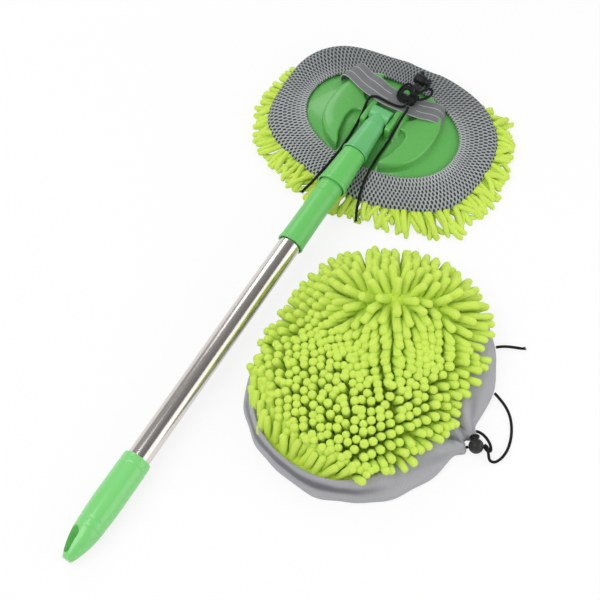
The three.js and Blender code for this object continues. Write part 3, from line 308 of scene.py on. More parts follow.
class Finish(Nodes):
    # One material: plain values on its shader, and nodes for whatever feeds them.
    def __init__(self, name, plain):
        self.material = bpy.data.materials.new(name)
        self.material.use_nodes = True
        super().__init__(self.material.node_tree)
        self.shader = self.tree.nodes["Principled BSDF"]
        for socket, value in plain.items():
            self.shader.inputs[socket].default_value = value

    def feed(self, socket, value):
        self.tree.links.new(value.socket, self.shader.inputs[socket])
        return self

    def uv(self):
        both = self.node("ShaderNodeUVMap", {"uv_map": "UVMap"})
        return [self.node("ShaderNodeSeparateXYZ", {}, [both], k) for k in (0, 1)]

    def place(self):
        return self.node("ShaderNodeTexCoord", {}, (), 3)

    def trait(self, name):
        return self.node("ShaderNodeAttribute", {"attribute_name": name}, (), 2)

    def noise(self, scale, detail=2.0, rough=0.5, at=None):
        inputs = {"Vector": at or self.place(), "Scale": scale, "Detail": detail, "Roughness": rough}
        return self.node("ShaderNodeTexNoise", {}, inputs)

    def blend(self, share, first, second):
        return self.node("ShaderNodeMix", {"data_type": "RGBA"}, {0: share, 6: first, 7: second}, 2)

    def bump(self, height, distance):
        inputs = {"Height": height, "Distance": distance, "Strength": 1.0}
        return self.feed("Normal", self.node("ShaderNodeBump", {}, inputs))


palette = {  # as a screen shows them, from 0 to 255
    "plate": (94, 174, 84), "plateDeep": (92, 171, 82), "neck": (99, 183, 113), "neckDeep": (97, 181, 110),
    "adapter": (102, 194, 95), "adapterDeep": (100, 191, 93),
    "sleeve": (104, 194, 97), "sleeveDeep": (102, 191, 95),
    "grip": (122, 208, 117), "gripDeep": (119, 205, 114),
    "tube": (229, 223, 218), "smallSteel": (196, 198, 200),
    # the yarn's root colour is painted shade between the noodles
    "yarnRootShade": (192, 221, 66), "yarnBody": (204, 230, 94), "yarnOther": (192, 218, 84),
    "yarnPile": (216, 238, 114), "yarnSheen": (232, 255, 150),
    # the openings' colour is painted shade seen through the mesh
    "strand": (136, 140, 141), "strandPale": (186, 190, 190), "opening": (50, 54, 55),
    # the third knit colour is painted shade in the skirt's folds
    "knit": (150, 150, 155), "knitPale": (190, 190, 194), "knitShade": (104, 104, 110),
    "elastic": (100, 103, 104), "elasticPale": (126, 128, 129), "thread": (190, 194, 188),
    "cord": (7, 9, 8), "cordPale": (25, 29, 27),
    "lock": (10, 12, 12), "plug": (60, 64, 62), "ball": (33, 35, 35), "expander": (222, 224, 218),
}
weaveSettings = {  # pitches in mm, openings as parts of a cell
    "opening": (0.27, 0.25), "knitColumn": 1.5, "knitRow": 0.9, "knitLean": 0.35,
    "elasticRib": 1.1, "elasticWeft": 0.8, "plait": 2.6, "plaitTurns": 3.0,
}


def tint(name, scale=1.0, lift=0.0):
    # a colour of the palette, scale c + lift
    return sRgb(*(c * scale + lift for c in palette[name]))


def mouldedFinish(name, part, rough, coat, grain):
    # Moulded plastic: a slow drift of colour, a fine grain and a trace of handling in the gloss.
    finish = Finish(name, {"IOR": 1.47, "Coat Weight": coat, "Coat Roughness": 0.07})
    drift = finish.noise(9.0, 2.0)
    finish.feed("Base Color", finish.blend(drift.step(0.35, 0.7), tint(part), tint(part + "Deep")))
    rubs = finish.noise(60.0, 4.0, 0.65)
    finish.feed("Roughness", rubs.step(0.3, 0.75) * 0.1 + rough)
    fine = finish.noise(1900.0, 2.0) * 0.6 + finish.noise(160.0, 2.0)
    return finish.bump(fine, grain).material


def steelFinish(name, part, rough):
    # Drawn steel: faint lines along the tube and a few dull patches.
    finish = Finish(name, {"Metallic": 1.0})
    u, v = finish.uv()
    along = finish.node("ShaderNodeCombineXYZ", {}, [u * 3.0, v * 0.02, 0.0])
    lines = finish.noise(1.4, 3.0, 0.6, at=along)
    patches = finish.noise(14.0, 3.0, 0.6)
    finish.feed("Roughness", lines * 0.08 + patches.step(0.4, 0.8) * 0.05 + rough)
    finish.feed("Base Color", finish.blend(lines, tint(part), tint(part, 0.93)))
    return finish.bump(lines, 0.000004).material


def chenilleFinish(name):
    # Chenille yarn: tiny tufts with paler tips, painted shade that deepens the green towards the noodles'
    # roots and on the pads between them, and a small difference from one noodle to the next.
    finish = Finish(name, {"Sheen Weight": 0.35, "Sheen Roughness": 0.5, "Roughness": 0.92,
                           "Sheen Tint": tint("yarnSheen"), "Specular IOR Level": 0.15})
    tips = finish.trait("reach")
    tone = finish.trait("tone")
    pile = finish.noise(900.0, 4.0, 0.65)
    clumps = finish.noise(330.0, 2.0, 0.5)
    # painted shade: the colour darkens from each noodle's tip to its root
    body = finish.blend(tips.step(0.05, 0.7), tint("yarnRootShade"), tint("yarnBody"))
    toned = finish.blend(tone * 0.5, body, tint("yarnOther"))
    finish.feed("Base Color", finish.blend(pile.step(0.42, 0.68) * 0.5, toned, tint("yarnPile")))
    return finish.bump(pile * 0.7 + clumps, 0.0007).material


def meshFinish(name):
    # Spacer mesh: oval openings (a / width)^2 + (b / height)^2 < 1 in two staggered sets between pale
    # strands, the openings coloured dark as painted shade. u counts the openings round the cover, v the rows
    # across it, two to a cell. The trait gather narrows the openings, and painted shade darkens the strands
    # on the far side of the head.
    finish = Finish(name, {"Sheen Weight": 0.12, "Roughness": 0.85, "Specular IOR Level": 0.25})
    u, v = finish.uv()
    gather = finish.trait("gather")
    wide, high = weaveSettings["opening"]
    sets = []
    for step in (0.0, 0.5):
        across = (u + step) % 1.0 - 0.5
        down = (v * 0.5 + step) % 1.0 - 0.5
        sets.append((across * (gather * 0.55 + 1.0) / wide) ** 2.0 + (down / high) ** 2.0)
    opening = 1.0 - sets[0].least(sets[1]).step(0.5, 1.25)
    yarn = finish.noise(1500.0, 3.0, 0.6)
    drift = finish.noise(22.0, 2.0)
    # the last term is painted shade on the strands of the far side
    shade = yarn * 0.5 + drift * 0.5 + gather * 0.3 - finish.trait("farShade") * 0.5
    strand = finish.blend(shade, tint("strand"), tint("strandPale"))
    # painted shade: the openings take a flat dark colour
    finish.feed("Base Color", finish.blend(opening, strand, tint("opening")))
    return finish.bump((1.0 - opening) + yarn * 0.15, 0.0013).material


def knitFinish(name):
    # Stretch knit: columns of stitches along v with fine rows across them, darker with painted shade in the
    # skirt's fold valleys and in a band below its lip.
    finish = Finish(name, {"Sheen Weight": 0.3, "Sheen Roughness": 0.5, "Roughness": 0.9,
                           "Specular IOR Level": 0.2})
    u, v = finish.uv()
    swing = u.wave(weaveSettings["knitColumn"])
    row = swing * weaveSettings["knitLean"] + v / weaveSettings["knitRow"]
    stitch = (row % 1.0 - 0.5).size() * 2.0
    column = swing * 0.5 + 0.5
    fuzz = finish.noise(1200.0, 3.0, 0.6)
    shade = stitch * 0.35 + column * 0.25 + fuzz * 0.5
    cloth = finish.blend(shade, tint("knit"), tint("knitPale"))
    paintedShade = finish.trait("paintedShade").step(0.0, 1.0)
    finish.feed("Base Color", finish.blend(paintedShade, cloth, tint("knitShade")))
    return finish.bump(stitch * 0.5 + column * 0.6 + fuzz * 0.4, 0.00035).material


def elasticFinish(name, settings):
    # Woven elastic: ribs along its length, rubber lines across, two pale threads with a gap under the
    # knot, and pale selvedges. u runs along the strap from its middle, v across it.
    finish = Finish(name, {"Sheen Weight": 0.2, "Roughness": 0.82, "Specular IOR Level": 0.25})
    u, v = finish.uv()
    ribs = v.wave(weaveSettings["elasticRib"]) * 0.5 + 0.5
    weft = u.wave(weaveSettings["elasticWeft"]) * 0.5 + 0.5
    fuzz = finish.noise(1400.0, 3.0, 0.6)
    ground = finish.blend(ribs * 0.3 + fuzz * 0.6, tint("elastic"), tint("elasticPale"))
    near, far = [1.0 - (v - at).size().step(0.28, 0.5) for at in settings["threads"]]
    gapFrom, gapTo = settings["threadGap"]
    threads = near.most(far) * (u < gapFrom).most(u > gapTo)
    half = settings["width"] / 2
    edge = (v - half).size().step(half - 0.8, half - 0.3)
    white = threads.most(edge * 0.85)
    finish.feed("Base Color", finish.blend(white * 0.85, ground, tint("thread")))
    return finish.bump(ribs * 0.5 + weft * 0.4 + white * 0.8, 0.00022).material


def cordFinish(name):
    # Braided cord: two sets of diagonal plaits. u runs along the cord in mm, v once round it.
    finish = Finish(name, {"Sheen Weight": 0.05, "Roughness": 0.8, "Specular IOR Level": 0.2})
    u, v = finish.uv()
    along, around = u / weaveSettings["plait"], v * weaveSettings["plaitTurns"]
    plait = (along + around).wave().size().most((along - around).wave().size())
    fuzz = finish.noise(1600.0, 3.0, 0.6)
    shade = plait * 0.6 + fuzz * 0.5
    finish.feed("Base Color", finish.blend(shade, tint("cord"), tint("cordPale")))
    return finish.bump(plait + fuzz * 0.3, 0.00025).material


def nylonFinish(name, part, rough):
    # Plain moulded nylon: fine sandy grain.
    finish = Finish(name, {"IOR": 1.5, "Specular IOR Level": 0.45})
    grain = finish.noise(2400.0, 3.0, 0.6)
    finish.feed("Base Color", finish.blend(grain, tint(part), tint(part, 0.85, 6.0)))
    finish.feed("Roughness", grain * 0.15 + rough)
    return finish.bump(grain, 0.00008).material


strapSettings = {
    "width": 25.5, "thickness": 1.2, "crown": 0.35, "threads": (8.2, 17.2), "threadGap": (3.0, 37.0),
    "reach": (68.0, 59.0), "middleX": -2.5, "middleY": 8.0, "top": 50.9, "foot": 25.0,
    "endY": {-1: 28.0, 1: 24.0},
    "stations": {  # share of the reach, of the height and of the way to endY, on the left and right
        -1: [(0.17, 1, 0.04), (0.28, 0.995, 0.1), (0.43, 0.9, 0.26), (0.6, 0.82, 0.48), (0.78, 0.78, 0.74),
             (0.91, 0.71, 0.91), (1.0, 0.54, 0.99), (1.035, 0.3, 1), (1.03, -0.05, 1)],
        1: [(0.17, 1, 0.04), (0.28, 0.995, 0.1), (0.42, 0.87, 0.27), (0.6, 0.76, 0.52),
            (0.76, 0.715, 0.77), (0.86, 0.62, 0.91), (0.92, 0.44, 0.98), (0.95, 0.2, 1), (0.96, -0.05, 1)],
    },
    # how much higher the far edge lies, by exp(-((share - at) / width)^2) of the share of the reach
    "tilt": {-1: 5.0, 1: 0.0}, "tiltAt": (0.38, 0.16),
}
plateLook = mouldedFinish("plateGreen", "plate", 0.24, 0.35, 0.000012)
neckLook = mouldedFinish("neckGreen", "neck", 0.34, 0.3, 0.000012)
adapterLook = mouldedFinish("adapterGreen", "adapter", 0.34, 0.3, 0.000012)
sleeveLook = mouldedFinish("sleeveGreen", "sleeve", 0.34, 0.3, 0.000012)
gripLook = mouldedFinish("gripGreen", "grip", 0.3, 0.55, 0.00003)
tubeLook = steelFinish("tubeSteel", "tube", 0.16)
smallSteelLook = steelFinish("smallSteel", "smallSteel", 0.3)
chenilleLook = chenilleFinish("limeChenille")
meshLook = meshFinish("greyMesh")
knitLook = knitFinish("greyKnit")
elasticLook = elasticFinish("strapElastic", strapSettings)
cordLook = cordFinish("blackCord")
lockLook = nylonFinish("blackNylon", "lock", 0.42)
plugLook = nylonFinish("plugNylon", "plug", 0.45)
ballLook = nylonFinish("ballNylon", "ball", 0.42)
whiteLook = nylonFinish("whiteNylon", "expander", 0.4)
print("materials made")


# The photograph's camera, and a white room round the object.

cameraSettings = {"turn": 31.82, "height": 59.59, "lens": 94.5, "sensor": 36.0,
                  "place": (492.9, -973.4, 1479.8)}
camera = bpy.data.objects.new("camera", bpy.data.cameras.new("camera"))
camera.data.lens = cameraSettings["lens"]
camera.data.sensor_width = cameraSettings["sensor"]
camera.data.clip_start, camera.data.clip_end = 0.01, 50.0
camera.location = placed(cameraSettings["place"])
camera.rotation_euler = (math.radians(90 - cameraSettings["height"]), 0.0,
                         math.radians(cameraSettings["turn"]))
bpy.context.scene.collection.objects.link(camera)
bpy.context.scene.camera = camera
bpy.context.scene.view_settings.view_transform = "Standard"

lampAim = (0.0, -0.1, 0.05)
lampSettings = [  # name, place in the frame, width and height in metres, watts
    ("overheadLamp", (-0.6, -0.9, 1.9), (1.5, 1.5), 20.0),
    ("stripLamp", (1.05, 0.2, 0.5), (1.4, 0.8), 4.6),
    ("backLamp", (-1.3, 1.0, 1.3), (0.9, 0.9), 6.0),
]
for name, place, size, watts in lampSettings:
    lamp = bpy.data.objects.new(name, bpy.data.lights.new(name, "AREA"))
    lamp.data.shape = "RECTANGLE"
    lamp.data.size, lamp.data.size_y = size
    lamp.data.energy = watts
    lamp.location = place
    lamp.rotation_euler = (Vector(lampAim) - Vector(place)).to_track_quat("-Z", "Y").to_euler()
    bpy.context.scene.collection.objects.link(lamp)

# The world is white to the camera, to the object a pale room that is dimmer towards +X, and in
# reflections a dimmer one still, apart from a pale band up to the horizon's height.
roomSettings = {"from": -0.8, "to": 0.75, "lit": (0.66, 0.6), "reflected": (0.36, 0.15), "band": 0.95,
                "horizon": (0.16, 0.3)}
world = bpy.data.worlds.new("studio")
bpy.context.scene.world = world
world.use_nodes = True
room = Nodes(world.node_tree)
towards = room.node("ShaderNodeTexCoord")
across, height = [room.node("ShaderNodeSeparateXYZ", {}, [towards], axis) for axis in (0, 2)]
cameraRay, glossyRay = [room.node("ShaderNodeLightPath", {}, (), ray)
                        for ray in ("Is Camera Ray", "Is Glossy Ray")]


def dimming(strengths):
    # the first strength at the side "from", the second at the side "to"
    inputs = {0: across, 1: roomSettings["from"], 2: roomSettings["to"], 3: strengths[0], 4: strengths[1]}
    return room.node("ShaderNodeMapRange", {}, inputs)


lit, band = dimming(roomSettings["lit"]), roomSettings["band"]
reflected = band + (dimming(roomSettings["reflected"]) - band) * height.step(*roomSettings["horizon"])
indoors = lit + (reflected - lit) * glossyRay
strength = indoors + (1.0 - indoors) * cameraRay
background = room.tree.nodes["Background"]
room.tree.links.new(strength.socket, background.inputs["Strength"])
background.inputs["Color"].default_value = (1.0, 1.0, 1.0, 1.0)

# The floor glows to the camera and in reflections, and keeps the object's shadow.
floorSettings = {"half": 6.0, "grey": 0.86, "cameraGlow": 0.82, "glossyGlow": 0.48}
edge = floorSettings["half"]
floorMesh = bpy.data.meshes.new("floor")
floorMesh.from_pydata([(-edge, -edge, 0), (edge, -edge, 0), (edge, edge, 0), (-edge, edge, 0)], [],
                      [(0, 1, 2, 3)])
floor = bpy.data.objects.new("floor", floorMesh)
bpy.context.scene.collection.objects.link(floor)
floorFinish = Finish("floorWhite", {"Base Color": (*[floorSettings["grey"]] * 3, 1.0), "Roughness": 0.9,
                                    "Specular IOR Level": 0.1})
glow = floorFinish.node("ShaderNodeEmission", {}, {"Color": (1.0, 1.0, 1.0, 1.0), "Strength": 1.0})
cameraRay, glossyRay = [floorFinish.node("ShaderNodeLightPath", {}, (), ray)
                        for ray in ("Is Camera Ray", "Is Glossy Ray")]
share = cameraRay * floorSettings["cameraGlow"] + glossyRay * floorSettings["glossyGlow"]
floorMix = floorFinish.node("ShaderNodeMixShader", {}, {0: share, 2: glow})
floorFinish.tree.links.new(floorFinish.shader.outputs[0], floorMix.socket.node.inputs[1])
floorOutput = floorFinish.tree.nodes["Material Output"]
floorFinish.tree.links.new(floorMix.socket, floorOutput.inputs["Surface"])
floorMesh.materials.append(floorFinish.material)
print("camera and light made")


# Drawcords. Each route starts where the cord leaves the knot, a lock or the hem.

cordSettings = {"diameter": 3.1, "sides": 12, "ringPitch": 1.1, "fewestRings": 12}
routes = {
    "outerLoop": [(19, 31, 56.2), (15.5, 38, 55.4), (11.5, 45.5, 54), (6, 46.5, 53.4), (2.6, 40, 53.6),
                  (2.4, 31, 54.2), (4.6, 24, 54.6), (9.6, 20.2, 55), (15, 20.4, 55.6), (20, 23.5, 56.2)],
    "innerLoop": [(20, 30, 59.2), (15, 34.5, 59.6), (10.6, 36, 59.4), (7.6, 32.5, 59.2), (8, 27.6, 59.2),
                  (11.4, 25, 59.2), (15.4, 25.2, 59), (20, 26, 58.6)],
    "rightLoop": [(21, 34, 56.4), (24.6, 42, 56), (27.6, 50.5, 54.2), (31.6, 54, 52.6), (34.8, 50, 52),
                  (34.4, 42.5, 52.8), (31, 35.5, 54.4), (26.6, 30, 55.8), (22, 27, 56.2)],
    "lead": [(8.2, 66.1, 34.2), (9.4, 62.4, 36.6), (13.2, 55.6, 44), (16.6, 48, 51), (19, 42.6, 54.8),
             (20, 39.5, 55.9)],
    "exit": [(2, 88, 26.6), (3.2, 86.4, 29.8), (5.4, 83.6, 33.2), (7.6, 80, 34.4)],
    "leftTail": [(19.4, 16.3, 55.2), (15.5, 13.4, 54), (8, 11.8, 53.6), (0, 11.4, 53.5), (-8, 11.6, 53.6),
                 (-15.5, 11.4, 53.7), (-20.8, 8.4, 53.5), (-22.4, 2.4, 51.2), (-22, -6, 45.2),
                 (-21.6, -17, 38.4), (-21.2, -29, 34.6), (-20.8, -42, 32.6), (-21, -55, 30.8),
                 (-21.6, -68, 29.6), (-22.8, -81, 28.6), (-24.6, -93, 26.6), (-27, -103, 22.4),
                 (-29.6, -111.5, 18.6), (-31.5, -119, 17.2)],
    "rightTail": [(22.6, 16.3, 55), (23.2, 11.5, 53.9), (23, 5.5, 52.3), (22.4, -2, 48), (22, -10, 43.4),
                  (21.7, -20, 38.8), (21.2, -32, 35), (20.6, -44, 33), (20.8, -57, 30.6), (22, -70, 29.5),
                  (24.2, -83, 28.4), (26.8, -94, 26.4), (29.6, -103.5, 22.2), (33, -112.5, 18.4),
                  (37.5, -121.5, 17)],
    "spareExit": [(270, -302.7, 4.8), (272.8, -300.2, 6.2), (276.4, -296.9, 7.8)],
    "spareLoop": [(272.3, -276.6, 4.6), (277, -275, 4.9), (283, -275.2, 4.4), (289.5, -277.6, 3.6),
                  (295.2, -282, 3), (297.6, -286.8, 3.2), (294.6, -289, 4.8), (289.9, -287.2, 6.5)],
    "spareArc": [(289.8, -286.9, 9.7), (294, -287.9, 9.8), (298, -293, 7.6), (302, -296.8, 4.4),
                 (306.6, -295.4, 2.2), (310.4, -288.4, 1.6), (311.6, -277, 1.6), (309, -264, 1.6),
                 (303.6, -251.6, 1.6), (295.6, -240.4, 1.6), (286, -232.6, 1.8), (277, -228.4, 2.6),
                 (269.6, -226, 3.8)],
    "spareTail": [(245.2, -177.2, 5), (249.8, -172.8, 4), (255.6, -168.6, 2.8), (261.6, -165.6, 2.3),
                  (268, -163.6, 3.2)],
}


def cordAlong(name, line, body, replaces):
    # a round cord along the line, with its ends closed
    grid, uv = capped(*swept(line, cordSettings["diameter"] / 2, cordSettings["sides"]))
    return surface(name, [grid], cordLook, body, replaces, [uv])


def cordPiece(name, route, body, replaces):
    # a cord along its route, with a ring of points each pitch or so
    count = int(lengthOf(np.array(routes[route], float)) / cordSettings["ringPitch"])
    line = throughPoints(routes[route], max(count, cordSettings["fewestRings"]))
    return cordAlong(name, line, body, replaces), line


frayedSettings = {
    "fibres": 26, "reach": 8.0, "flare": (0.05, 0.42), "long": (0.62, 1.0), "root": (1.2, 0.2, 1.0),
    "girth": (0.34, 0.34, 0.3, 0.22, 0.0), "binding": ((-1.6, 1.5), (-0.5, 1.56), (0.9, 1.5)),
}


def frayedEnd(name, line, body, replaces):
    # fibre(t) = root + t reach (along + t flare spoke), thinning towards its tip, out of a bound end
    f = frayedSettings
    many = f["fibres"]
    end, along = line[-1], unit(line[-1] - line[-3])
    side = unit(np.cross(along, [0, 0, 1.0]))
    up = np.cross(side, along)
    turn = rng.uniform(0, 2 * np.pi, many)
    flare = rng.uniform(*f["flare"], many)
    spoke = np.cos(turn)[:, None] * side + np.sin(turn)[:, None] * up
    t = np.linspace(0, 1, len(f["girth"]))
    long = rng.uniform(*f["long"], many)[:, None, None] * f["reach"]
    back, inner, outer = f["root"]
    root = end - along * back + spoke * rng.uniform(inner, outer, many)[:, None]
    spread = (flare[:, None] * spoke)[:, None] * t[None, :, None]
    middle = root[:, None] + t[None, :, None] * long * (along + spread)
    angle = np.linspace(0, 2 * np.pi, 6)
    ring = np.cos(angle)[:, None] * side + np.sin(angle)[:, None] * up
    grid = middle[:, :, None] + np.array(f["girth"])[None, :, None, None] * ring
    uv = np.stack(np.broadcast_arrays(t[:, None] * f["reach"], angle / (2 * np.pi)), axis=-1)
    at, radii = np.array(f["binding"]).T
    binding, bindingUv = capped(*swept(end + along * at[:, None], radii, cordSettings["sides"]))
    return surface(name, [grid, binding], cordLook, body, replaces,
                   [np.broadcast_to(uv, (*grid.shape[:3], 2)), bindingUv])


def leadStrand(name, aside):
    # one more strand of the lead: line + aside sin(pi t), with t from 0.04 to 0.9 along it
    swing = np.sin(np.pi * np.linspace(0.04, 0.9, len(leadLine)))[:, None]
    line = leadLine + np.array(aside) * swing
    return cordAlong(name, line, "head", ["drawcord_lead"]), line


# a second strand inside the outer loop: the loop drawn in to its middle and moved
twinSettings = {"middle": (11.0, 33.5, 55.2), "scale": (0.86, 0.72, 1.0), "move": (2.2, -1.6, 1.6)}

outerLoop, outerLine = cordPiece("bowOuterLoop", "outerLoop", "head", ["drawcord_bow"])
innerLoop, innerLine = cordPiece("bowInnerLoop", "innerLoop", "head", ["drawcord_bow"])
rightLoop, rightLine = cordPiece("bowRightLoop", "rightLoop", "head", ["drawcord_bow"])
lead, leadLine = cordPiece("lockLead", "lead", "head", ["drawcord_lead"])
leadTwin, leadTwinLine = leadStrand("lockLeadTwin", (3.0, 0.6, 0.5))
leadThird, leadThirdLine = leadStrand("lockLeadThird", (-3.0, 0.2, 1.2))
twinMiddle = np.array(twinSettings["middle"])
outerTwinLine = twinMiddle + (outerLine - twinMiddle) * twinSettings["scale"] + twinSettings["move"]
outerTwin = cordAlong("bowOuterTwin", outerTwinLine, "head", ["drawcord_bow"])
hemExit = cordPiece("hemExit", "exit", "head", ["drawcord_exit"])[0]
leftTail, leftTailLine = cordPiece("leftTail", "leftTail", "head", ["drawcord_tail_left"])
rightTail, rightTailLine = cordPiece("rightTail", "rightTail", "head", ["drawcord_tail_right"])
leftTuft = frayedEnd("leftTuft", leftTailLine, "head", ["tail_tuft_left"])
rightTuft = frayedEnd("rightTuft", rightTailLine, "head", ["tail_tuft_right"])
spareExit = cordPiece("spareHemExit", "spareExit", "spare", ["spare_cord_exit"])[0]
spareLoop, spareLoopLine = cordPiece("spareLoop", "spareLoop", "spare", ["spare_cord_loop"])
spareArc, spareArcLine = cordPiece("spareArc", "spareArc", "spare", ["spare_cord_arc"])
spareTailLine = cordPiece("spareTail", "spareTail", "spare", ["spare_cord_tail"])[1]
frayedEnd("spareTuft", spareTailLine, "spare", ["spare_tail_tuft"])

knotSettings = {
    "middle": (21.0, 27.5, 56.2), "half": (6.2, 11.4, 4.4), "strand": 1.7, "core": (0.72, 0.86, 0.78),
    "wrapStrand": 1.4, "wraps": [(4.7, -4.6, 0.24, 3.0), (4.5, 4.2, 0.22, 2.8)],
}


def knotPiece():
    # A trefoil, p(t) = middle + half ((2 + cos 3t) cos 2t, (2 + cos 3t) sin 2t, sin 3t), each part
    # scaled so that the cord keeps inside the half sizes, two wraps of two turns round its waist,
    # (a cos t, b + c t, d sin t), and a core, middle + half (sin v cos u, sin v sin u, cos v).
    k = knotSettings
    middle, half = np.array(k["middle"]), np.array(k["half"]) - cordSettings["diameter"] / 2
    t = np.linspace(0, 2 * np.pi, 121)
    bulge = 2 + np.cos(3 * t)
    loop = np.stack([bulge * np.cos(2 * t) / 3, bulge * np.sin(2 * t) / 3, np.sin(3 * t)], axis=1)
    parts = [swept(middle + loop * half, k["strand"], 10)]
    turns = np.linspace(0, 4 * np.pi, 81)
    for wide, start, pitch, high in k["wraps"]:
        wrap = middle + np.stack([wide * np.cos(turns), start + turns * pitch, high * np.sin(turns)], axis=1)
        parts.append(capped(*swept(wrap, k["wrapStrand"], 10)))
    v = np.linspace(0, np.pi, 13)[:, None]
    u = np.linspace(0, 2 * np.pi, 25)[None, :]
    core = np.stack([np.sin(v) * np.cos(u), np.sin(v) * np.sin(u), np.cos(v) + 0 * u], axis=-1)
    parts.append((middle + core * half * np.array(k["core"]),
                  np.stack(np.broadcast_arrays(u * 6, v / 3), axis=-1)))
    grids, uvs = zip(*parts)
    return surface("bowKnot", grids, cordLook, "head", ["drawcord_bow"], uvs)


knot = knotPiece()
print("cords made")


# Cord locks: a ribbed barrel on the head's cord and a ball on the spare cover's.

lockSettings = {
    "barrel": {"middle": (8.0, 73.0, 34.1), "turn": -90.0, "mouth": 6.5, "ribs": 16, "ribDepth": 0.35,
               "rows": [(-6.5, 0), (-6.5, 5.6, 1.6), (-4.6, 6.5, 0.8), (4.4, 6.5, 0.8), (6.5, 5.1, 0.4),
                        (6.5, 4.6, 0.2), (-3.5, 4.5, 0.2), (-3.5, 0)]},
    "ball": {"middle": (283.0, -292.0, 8.3), "turn": 37.0, "mouth": 6.24, "radius": 8.0,
             "bore": [(6.24, 4.7), (-3.76, 4.5), (-3.76, 0.0)], "seamWidth": 0.5, "seamDepth": 0.18},
    "boreWall": 4.8, "up": (0.0, 0.0, 1.0),
    # stem and domed cap: distance from the lock's mouth, radius and corner cut
    "button": [(-4.0, 0), (-4.0, 4.2, 0.3), (3.3, 4.2, 0.1), (3.3, 5.4, 0.4), (5.5, 5.2, 1.2), (5.5, 0)],
}


def lockFrame(lock):
    # the lock's middle, and its button's direction: +Y turned by the angle
    turn = math.radians(lock["turn"])
    return np.array(lock["middle"]), np.array([-math.sin(turn), math.cos(turn), 0.0])


def lockButton(name, lock, body, replaces):
    # the button's rows, from the lock's mouth on, turned about its direction
    rows = roundedRows([(lock["mouth"] + far, *rest) for far, *rest in lockSettings["button"]])
    grid, uv = turned(rows, 40, *lockFrame(lock), lockSettings["up"])
    surface(name, [grid], lockLook, body, replaces, [uv])


def fluted(grid, lock):
    # radius less depth cos^2(ribs angle / 2) outside the bore, for grip ribs round the barrel
    middle, along = lockFrame(lock)
    up = np.array(lockSettings["up"])
    offset = grid - middle
    far = (offset @ along)[..., None] * along
    spoke = offset - far
    angle = np.arctan2(spoke @ np.cross(along, up), spoke @ up)
    size = np.linalg.norm(spoke, axis=-1)
    depth = lock["ribDepth"] * (size > lockSettings["boreWall"]) * np.cos(lock["ribs"] * angle / 2) ** 2
    return middle + far + spoke * (1 - depth / np.maximum(size, 1.0))[..., None]


def cordLocks():
    # The barrel turned from its rows. The ball, radius (sin a, cos a) with its bore, and a fine seam
    # round its waist, radius less depth exp(-(distance / width)^2).
    barrel, ball = lockSettings["barrel"], lockSettings["ball"]
    grid, uv = turned(roundedRows(barrel["rows"]), 48, *lockFrame(barrel), lockSettings["up"])
    surface("lockBarrel", [fluted(grid, barrel)], lockLook, "head", ["cord_lock_barrel"],
            [uv])
    lockButton("lockButton", barrel, "head_lock_button", ["cord_lock_button"])
    middle, along = lockFrame(ball)
    radius = ball["radius"]
    angle = np.linspace(-np.pi / 2, math.asin(ball["mouth"] / radius), 22)
    profile = np.concatenate([radius * np.stack([np.sin(angle), np.cos(angle)], axis=1), ball["bore"]])
    grid, uv = turned(profile, 48, middle, along, lockSettings["up"])
    seam = np.exp(-(((grid - middle) @ along) / ball["seamWidth"]) ** 2)[..., None] * ball["seamDepth"]
    surface("spareBall", [grid - (grid - middle) / radius * seam], ballLook, "spare",
            ["spare_lock_ball"], [uv])
    lockButton("spareButton", ball, "spare_button", ["spare_lock_button"])


cordLocks()
print("cord locks made")


# Head plate, finger rests and the hinge's cheeks.

headSettings = {
    # half sizes along X and Y, and fullness, of the cover's opening and of its outline
    "opening": (92.5, 63.0, 2.2), "outline": (131.5, 103.0, 2.6),
    # the dome's rise and its power in the valley that the neck lies in and beside it
    "rim": 22.8, "dome": (10.5, 13.2), "domePower": (2.2, 3.0), "valley": (17.0, 27.0), "domeRings": 26,
    # spread and height over the rounded edge and down to the sole, and the spreads of the sole
    "edgeRows": [(0.0, 22.8), (0.45, 22.4), (0.72, 21.8), (0.81, 21.0), (0.845, 19.6), (0.845, 17.8)],
    "soleSpreads": (0.4, -0.2, -1.0),
    # how far the outline lies outside (+) or inside (-) a true oval, by degrees round it
    "edge": [(0, 0), (24, 1), (48, 0), (64, 1.5), (88, 1.5), (96, -1), (104, -3.5), (112, -3), (122, -1),
             (136, 2), (150, 3), (168, 2.5), (184, 0), (216, 0), (226, -3), (234, -6), (241, -8.5), (250, -8),
             (259, -5), (270, -3.5), (280, -4), (290, -6), (298, -8), (306, -7), (314, -4.5), (322, -1.5),
             (336, -0.5), (360, 0)],
}
restSettings = {
    "half": (66.0, 57.5), "farther": 7.0, "middleY": -4.0, "fullness": 2.4, "foot": 33.0, "shoulder": 8.8,
    "fillet": 2.0, "flare": 0.8, "flareHeight": 5.0, "rounding": 2.0, "crown": (12, 0.22),
    # the edge of the bay between the rests, in half sizes
    "bay": [(0.42, -1.1), (0.4, -0.93), (0.48, -0.74), (0.54, -0.46), (0.56, -0.25), (0.53, -0.09),
            (0.44, -0.03), (0.36, -0.03), (0.36, 0.19), (0.46, 0.26), (0.53, 0.36), (0.55, 0.54),
            (0.5, 0.76), (0.44, 0.92), (0.45, 1.1)],
}


def superOval(halfX, halfY, fullness, angle):
    # (halfX c |c|^(2/f - 1), halfY s |s|^(2/f - 1)), the curve |x/halfX|^f + |y/halfY|^f = 1
    c, s = np.cos(angle), np.sin(angle)
    power = 2 / fullness
    return np.stack([halfX * np.sign(c) * np.abs(c) ** power,
                     halfY * np.sign(s) * np.abs(s) ** power], axis=-1)


